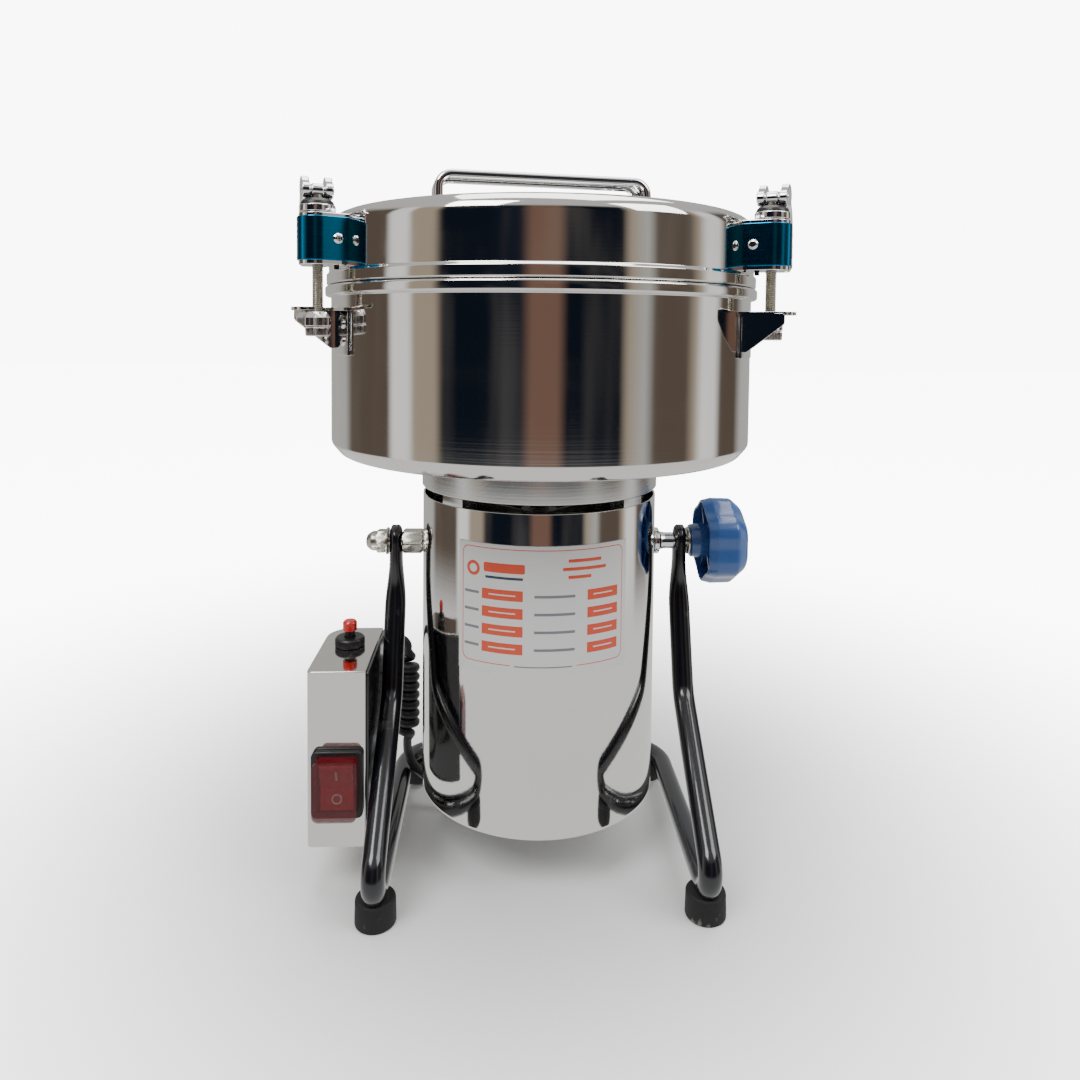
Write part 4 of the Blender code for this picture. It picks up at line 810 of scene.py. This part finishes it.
for name, azimuth in CLAMPS.items():
    plates = (rounded_block(9.5, 341.6, 344.2, 121) + rounded_block(9.5, 365.9, 368.1, 121))
    piece(f"clamp_block_{name}", plates.turned("Z", azimuth), chrome, "lid", ease=0.5)
    piece(f"clamp_cover_{name}", rounded_block(10.4, 343.9, 366.1, 124.2).turned("Z", azimuth),
          blue_anodised, "lid", f"clamp_housing_{name}", ease=0.35)
    for side, facing in (("left", 1), ("right", -1)):
        def on_side(shape, proud):
            return (shape.turned("X", -90 * facing).moved(129.6, facing * (10.4 + proud), 355)
                    .turned("Z", azimuth))
        piece(f"clamp_screw_{name}_{side}", on_side(dome(2.7, 1.5), -0.1), chrome, "lid")
        # Each screw's cross recess is a thin dark plus laid on its dome: painted shade, not a cut recess.
        piece(f"clamp_screw_slot_{name}_{side}", on_side(cross(1.45, 0.12), 1.34), dark, "lid")
    pin = lathe(eased([(0, 0), (1.3, 0), (1.3, 2.2), (0, 2.2)], [0, 0, 0.4, 0]), 24)
    piece(f"clamp_pin_{name}", pin.moved(128.5, 4.5, 339.7).turned("Z", azimuth), dark, "lid")


# Clamp rods -------------------------------------------------------------------
# An M6 threaded rod hangs from a cross barrel between the lever's cheeks. Its long nut below has a
# cone, a knurled line and fine upright flutes, and pulls up under the hook's ledge.
def thread(radius, deep, low, high, pitch, sides=32):
    """A screw thread: radius less `deep` times a triangle wave of (height / pitch - turn)."""
    a = math.tau * np.arange(sides + 1) / sides
    z = np.arange(low, high, pitch / 8)
    phase = (z[None] / pitch - a[:, None] / math.tau) % 1.0
    r = radius - deep * np.abs(2 * phase - 1)
    grid = np.stack((r * np.cos(a)[:, None], r * np.sin(a)[:, None], np.broadcast_to(z, r.shape)), -1)
    grid[-1] = grid[0]
    caps = [np.broadcast_to((0, 0, level), (len(a), 1, 3)) for level in (low, z[-1])]
    return woven(np.concatenate((caps[0], grid, caps[1]), axis=1))


def fluted(shape, low, high, count, deep):
    """The same turned shape with `count` upright flutes between two heights: the radius loses
    deep * (1 + cos(count * turn)) / 2 there."""
    x, y, z = shape.points.T
    r = np.hypot(x, y)
    inside = (z > low) & (z < high) & (r > 0.5)
    cut = 1 - np.where(inside, deep * (1 + np.cos(count * np.arctan2(y, x))) / 2 / np.maximum(r, 1), 0)
    return Shape(np.column_stack((x * cut, y * cut, z)), shape.quads, shape.flats)


worn_zinc = Look("worn_thread", Metallic=1.0)
soot = worn_zinc.grain(260.0, 4.0)
worn_zinc.mottled(soot, (0.36, 0.33, 0.26), (0.55, 0.52, 0.44), 0.22, 0.2)
long_nut = fluted(lathe(eased(
    [(0, 305), (6.3, 305), (6.55, 309.3), (6.2, 309.7), (6.2, 310.2), (6.6, 310.6), (6.6, 314.6),
     (5.1, 317.8), (0, 317.8)], [0, 0.8, 0.1, 0.1, 0.1, 0.1, 0.6, 0.5, 0], 3), 288), 305.4, 314.8, 48, 0.28)
LEVERS = {"front_left": 110, "front_right": 60, "rear": 180}
PIN_Z = 380.0
for name, azimuth in CLAMPS.items():
    a, lie = math.radians(azimuth), LEVERS[name]
    on_rod = lambda shape: shape.turned("Z", lie).moved(ROD_AT * math.cos(a), ROD_AT * math.sin(a))
    across_pin = lambda shape: on_rod(shape.turned("X", 90).moved(z=PIN_Z))
    shank = lathe([(0, 340), (2.75, 340), (2.75, 379), (0, 379)], 24)
    barrel = lathe(eased([(0, -3.2), (3.5, -3.2), (3.5, 3.2), (0, 3.2)], [0, 1.0, 1.0, 0]), 48)
    rivet = lathe(eased([(0, -8.4), (2.0, -8.4), (2.0, 8.4), (0, 8.4)], [0, 0.8, 0.8, 0]), 32)
    piece(f"threaded_rod_{name}", on_rod(thread(3.0, 0.5, 317, 344, 1.0) + shank), worn_zinc,
          f"clamp_{name}", f"clamp_rod_{name}", sharp=25)
    piece(f"rod_nut_{name}", on_rod(long_nut), chrome, f"clamp_{name}")
    piece(f"rod_barrel_{name}", across_pin(barrel + rivet), chrome, f"clamp_{name}")

    # Under the lever a plated washer carries a black saddle that the cams bear on.
    cup = lathe(eased([(3.3, 368.5), (9.2, 368.5), (9.2, 372.3), (3.3, 372.3)], [0.2, 0.5, 0.6, 0.2]), 64)
    piece(f"saddle_washer_{name}", on_rod(cup), chrome, f"clamp_{name}")
    cone = lathe(eased([(3.3, 372.3), (8.7, 372.3), (8.1, 374.0), (6.6, 375.4), (3.3, 375.4)], 0.4), 64)
    piece(f"saddle_{name}", on_rod(cone), black_plastic, f"clamp_{name}",
          f"clamp_saddle_{name}")

# Cam levers -------------------------------------------------------------------
# Each is one chromed casting: two round cheeks that ride on the saddle as cams, and an arm with
# finger ripples that hangs down the outside. Its two oval slots under the cheeks are not cut: each is a thin
# dark disc on the arm, painted shade for the opening.
cheek_outline = []
for (cx, cz), r, first, last in (((0, 0), 3.9, 96, 270), ((4.3, 1.8), 6.0, -90, 90)):
    t = np.radians(np.linspace(first, last, 25))
    cheek_outline.append(np.column_stack((cx + r * np.cos(t), cz + r * np.sin(t))))
cheek_outline = np.vstack(cheek_outline)
arm_line = spaced(eased([(7.6, 0, 4.0), (9.4, 0, -2.0), (13.6, 0, -7.5), (16.2, 0, -15), (16.2, 0, -27),
                         (15.0, 0, -38.2)], [0, 3, 7, 9, 12, 0], 10, closed=False), 0.35)
down = np.linspace(0, 1, len(arm_line))
ripple = 0.32 * np.sin(math.tau * (arm_line[:, 2] + 20) / 5.2) * np.clip((-14 - arm_line[:, 2]) / 4, 0, 1)
thick = 1.75 + 0.35 * np.sin(math.pi * down) - 0.9 * np.clip((down - 0.94) / 0.06, 0, 1) ** 2
half_wide = 8.0 - 0.35 * np.sin(math.pi * down) - 1.5 * np.clip((down - 0.93) / 0.07, 0, 1) ** 2
t = math.tau * np.arange(48) / 48
bend = lambda wave: np.sign(wave) * np.abs(wave) ** 0.55        # a rounded box for a circle
section = np.stack((half_wide[:, None] * bend(np.cos(t)), thick[:, None] * bend(np.sin(t))
                    + ripple[:, None] * (np.sin(t) > 0)), -1)
arm = carried(arm_line, section, side=(0, 1, 0))
oval = lathe(eased([(0, 0), (1.5, 0), (1.5, 0.25), (0, 0.25)], [0, 0, 0.1, 0]), 32)
oval.points = oval.points * (1.9, 1.0, 1.0)
for name, azimuth in CLAMPS.items():
    a, lie = math.radians(azimuth), LEVERS[name]
    on_rod = lambda shape: shape.turned("Z", lie).moved(ROD_AT * math.cos(a), ROD_AT * math.sin(a), PIN_Z)
    cheeks = [prism(cheek_outline, -2.1, 2.1).turned("X", 90).moved(y=side * 5.9) for side in (-1, 1)]
    piece(f"cam_lever_{name}", on_rod(arm), chrome, f"lever_{name}", f"clamp_lever_{name}")
    for side, cheek in zip(("left", "right"), cheeks):
        piece(f"cam_cheek_{name}_{side}", on_rod(cheek), chrome, f"lever_{name}", ease=1.3)
    # Two thin dark ovals on the arm: painted shade for the slots.
    slots = [oval.turned("Y", 72).moved(15.2, side * 3.4, -10.4) for side in (-1, 1)]
    piece(f"cam_lever_slots_{name}", on_rod(slots[0] + slots[1]), dark, f"lever_{name}")


# Lid handle -------------------------------------------------------------------
# A plated steel strap with both edges rolled down, bent at the ends to two feet that are spot welded to
# the lid, a little askew.
strap_line = spaced(eased([(-50, 0, 375.6), (-65, 0, 376.4), (-65, 0, 401.2), (65, 0, 401.2),
                           (65, 0, 376.4), (50, 0, 375.6)], [0, 3, 10, 10, 3, 0], 12, closed=False), 0.8)
lips = np.clip((np.abs(strap_line[:, 2] - 375) - 2.5) / 6, 0.12, 1)
channel = eased([(-11.3, -4.4), (-11.3, 0), (11.3, 0), (11.3, -4.4)], [0, 1.8, 1.8, 0], 6, closed=False)
sections = channel[None] * np.stack((np.ones_like(lips), lips), -1)[:, None]
strap = piece("strap_handle", carried(strap_line, sections, side=(0, 1, 0), shut=False)
              .turned("Z", 9.5), chrome, "lid", "lid_handle", sharp=60)
wall = strap.modifiers.new("sheet", "SOLIDIFY")
wall.thickness = 1.2 * MM
wall.offset = 0.0


# Inside -----------------------------------------------------------------------
# The motor's inner parts, the blades and the seals keep their solids, each with its own finish.
def finish(look, *names):
    for name in names:
        node = bpy.data.objects[name]
        if not node.material_slots:
            node.data.materials.append(look.material)
        for slot in node.material_slots:
            slot.material = look.material


def metal(name, one, two, rough, grain, depth_mm):
    """A metal whose colour, roughness and relief follow one stretched grain."""
    look = Look(name, Metallic=1.0)
    lines = look.noise(look.stretched(*grain), 1.0, 3.0)
    look.mottled(lines, one, two, rough, 0.14)
    look.bump(lines, depth_mm)
    return look


finish(metal("laminated_iron", (0.16, 0.16, 0.17), (0.32, 0.32, 0.34), 0.38, (6, 6, 2200), 0.05),
       "stator_core", "armature")
finish(metal("varnished_copper", (0.42, 0.16, 0.05), (0.66, 0.29, 0.11), 0.22, (700, 700, 160), 0.20),
       "field_winding_lower", "field_winding_upper")
finish(metal("commutator_copper", (0.56, 0.26, 0.11), (0.74, 0.38, 0.18), 0.20, (900, 900, 8), 0.05),
       "commutator")
finish(metal("ground_steel", (0.56, 0.56, 0.57), (0.70, 0.70, 0.71), 0.16, (20, 20, 1600), 0.01),
       "motor_bearing_lower", "motor_bearing_upper", "motor_shaft", "blade_nut")
finish(metal("brushed_blade", (0.55, 0.55, 0.55), (0.72, 0.72, 0.71), 0.18, (30, 1400, 30), 0.02),
       "blade_lower", "blade_middle", "blade_upper")
finish(metal("brass", (0.50, 0.36, 0.13), (0.68, 0.50, 0.22), 0.26, (300, 300, 300), 0.02), "brush_gear")
finish(metal("sand_cast", (0.46, 0.46, 0.46), (0.60, 0.60, 0.60), 0.38, (700, 700, 700), 0.08),
       "cooling_fan", "motor_lower_bracket")
finish(metal("pressed_plate", (0.48, 0.48, 0.48), (0.58, 0.58, 0.58), 0.30, (240, 240, 240), 0.02),
       "motor_bottom_cover")
silicone = Look("silicone", Subsurface_Weight=0.15, Subsurface_Radius=(0.003, 0.003, 0.002))
milky = silicone.grain(260.0, 3.0)
silicone.mottled(milky, (0.70, 0.70, 0.66), (0.80, 0.80, 0.77), 0.42, 0.15)
silicone.bump(milky, 0.03)
finish(silicone, "shaft_seal", "lid_gasket")
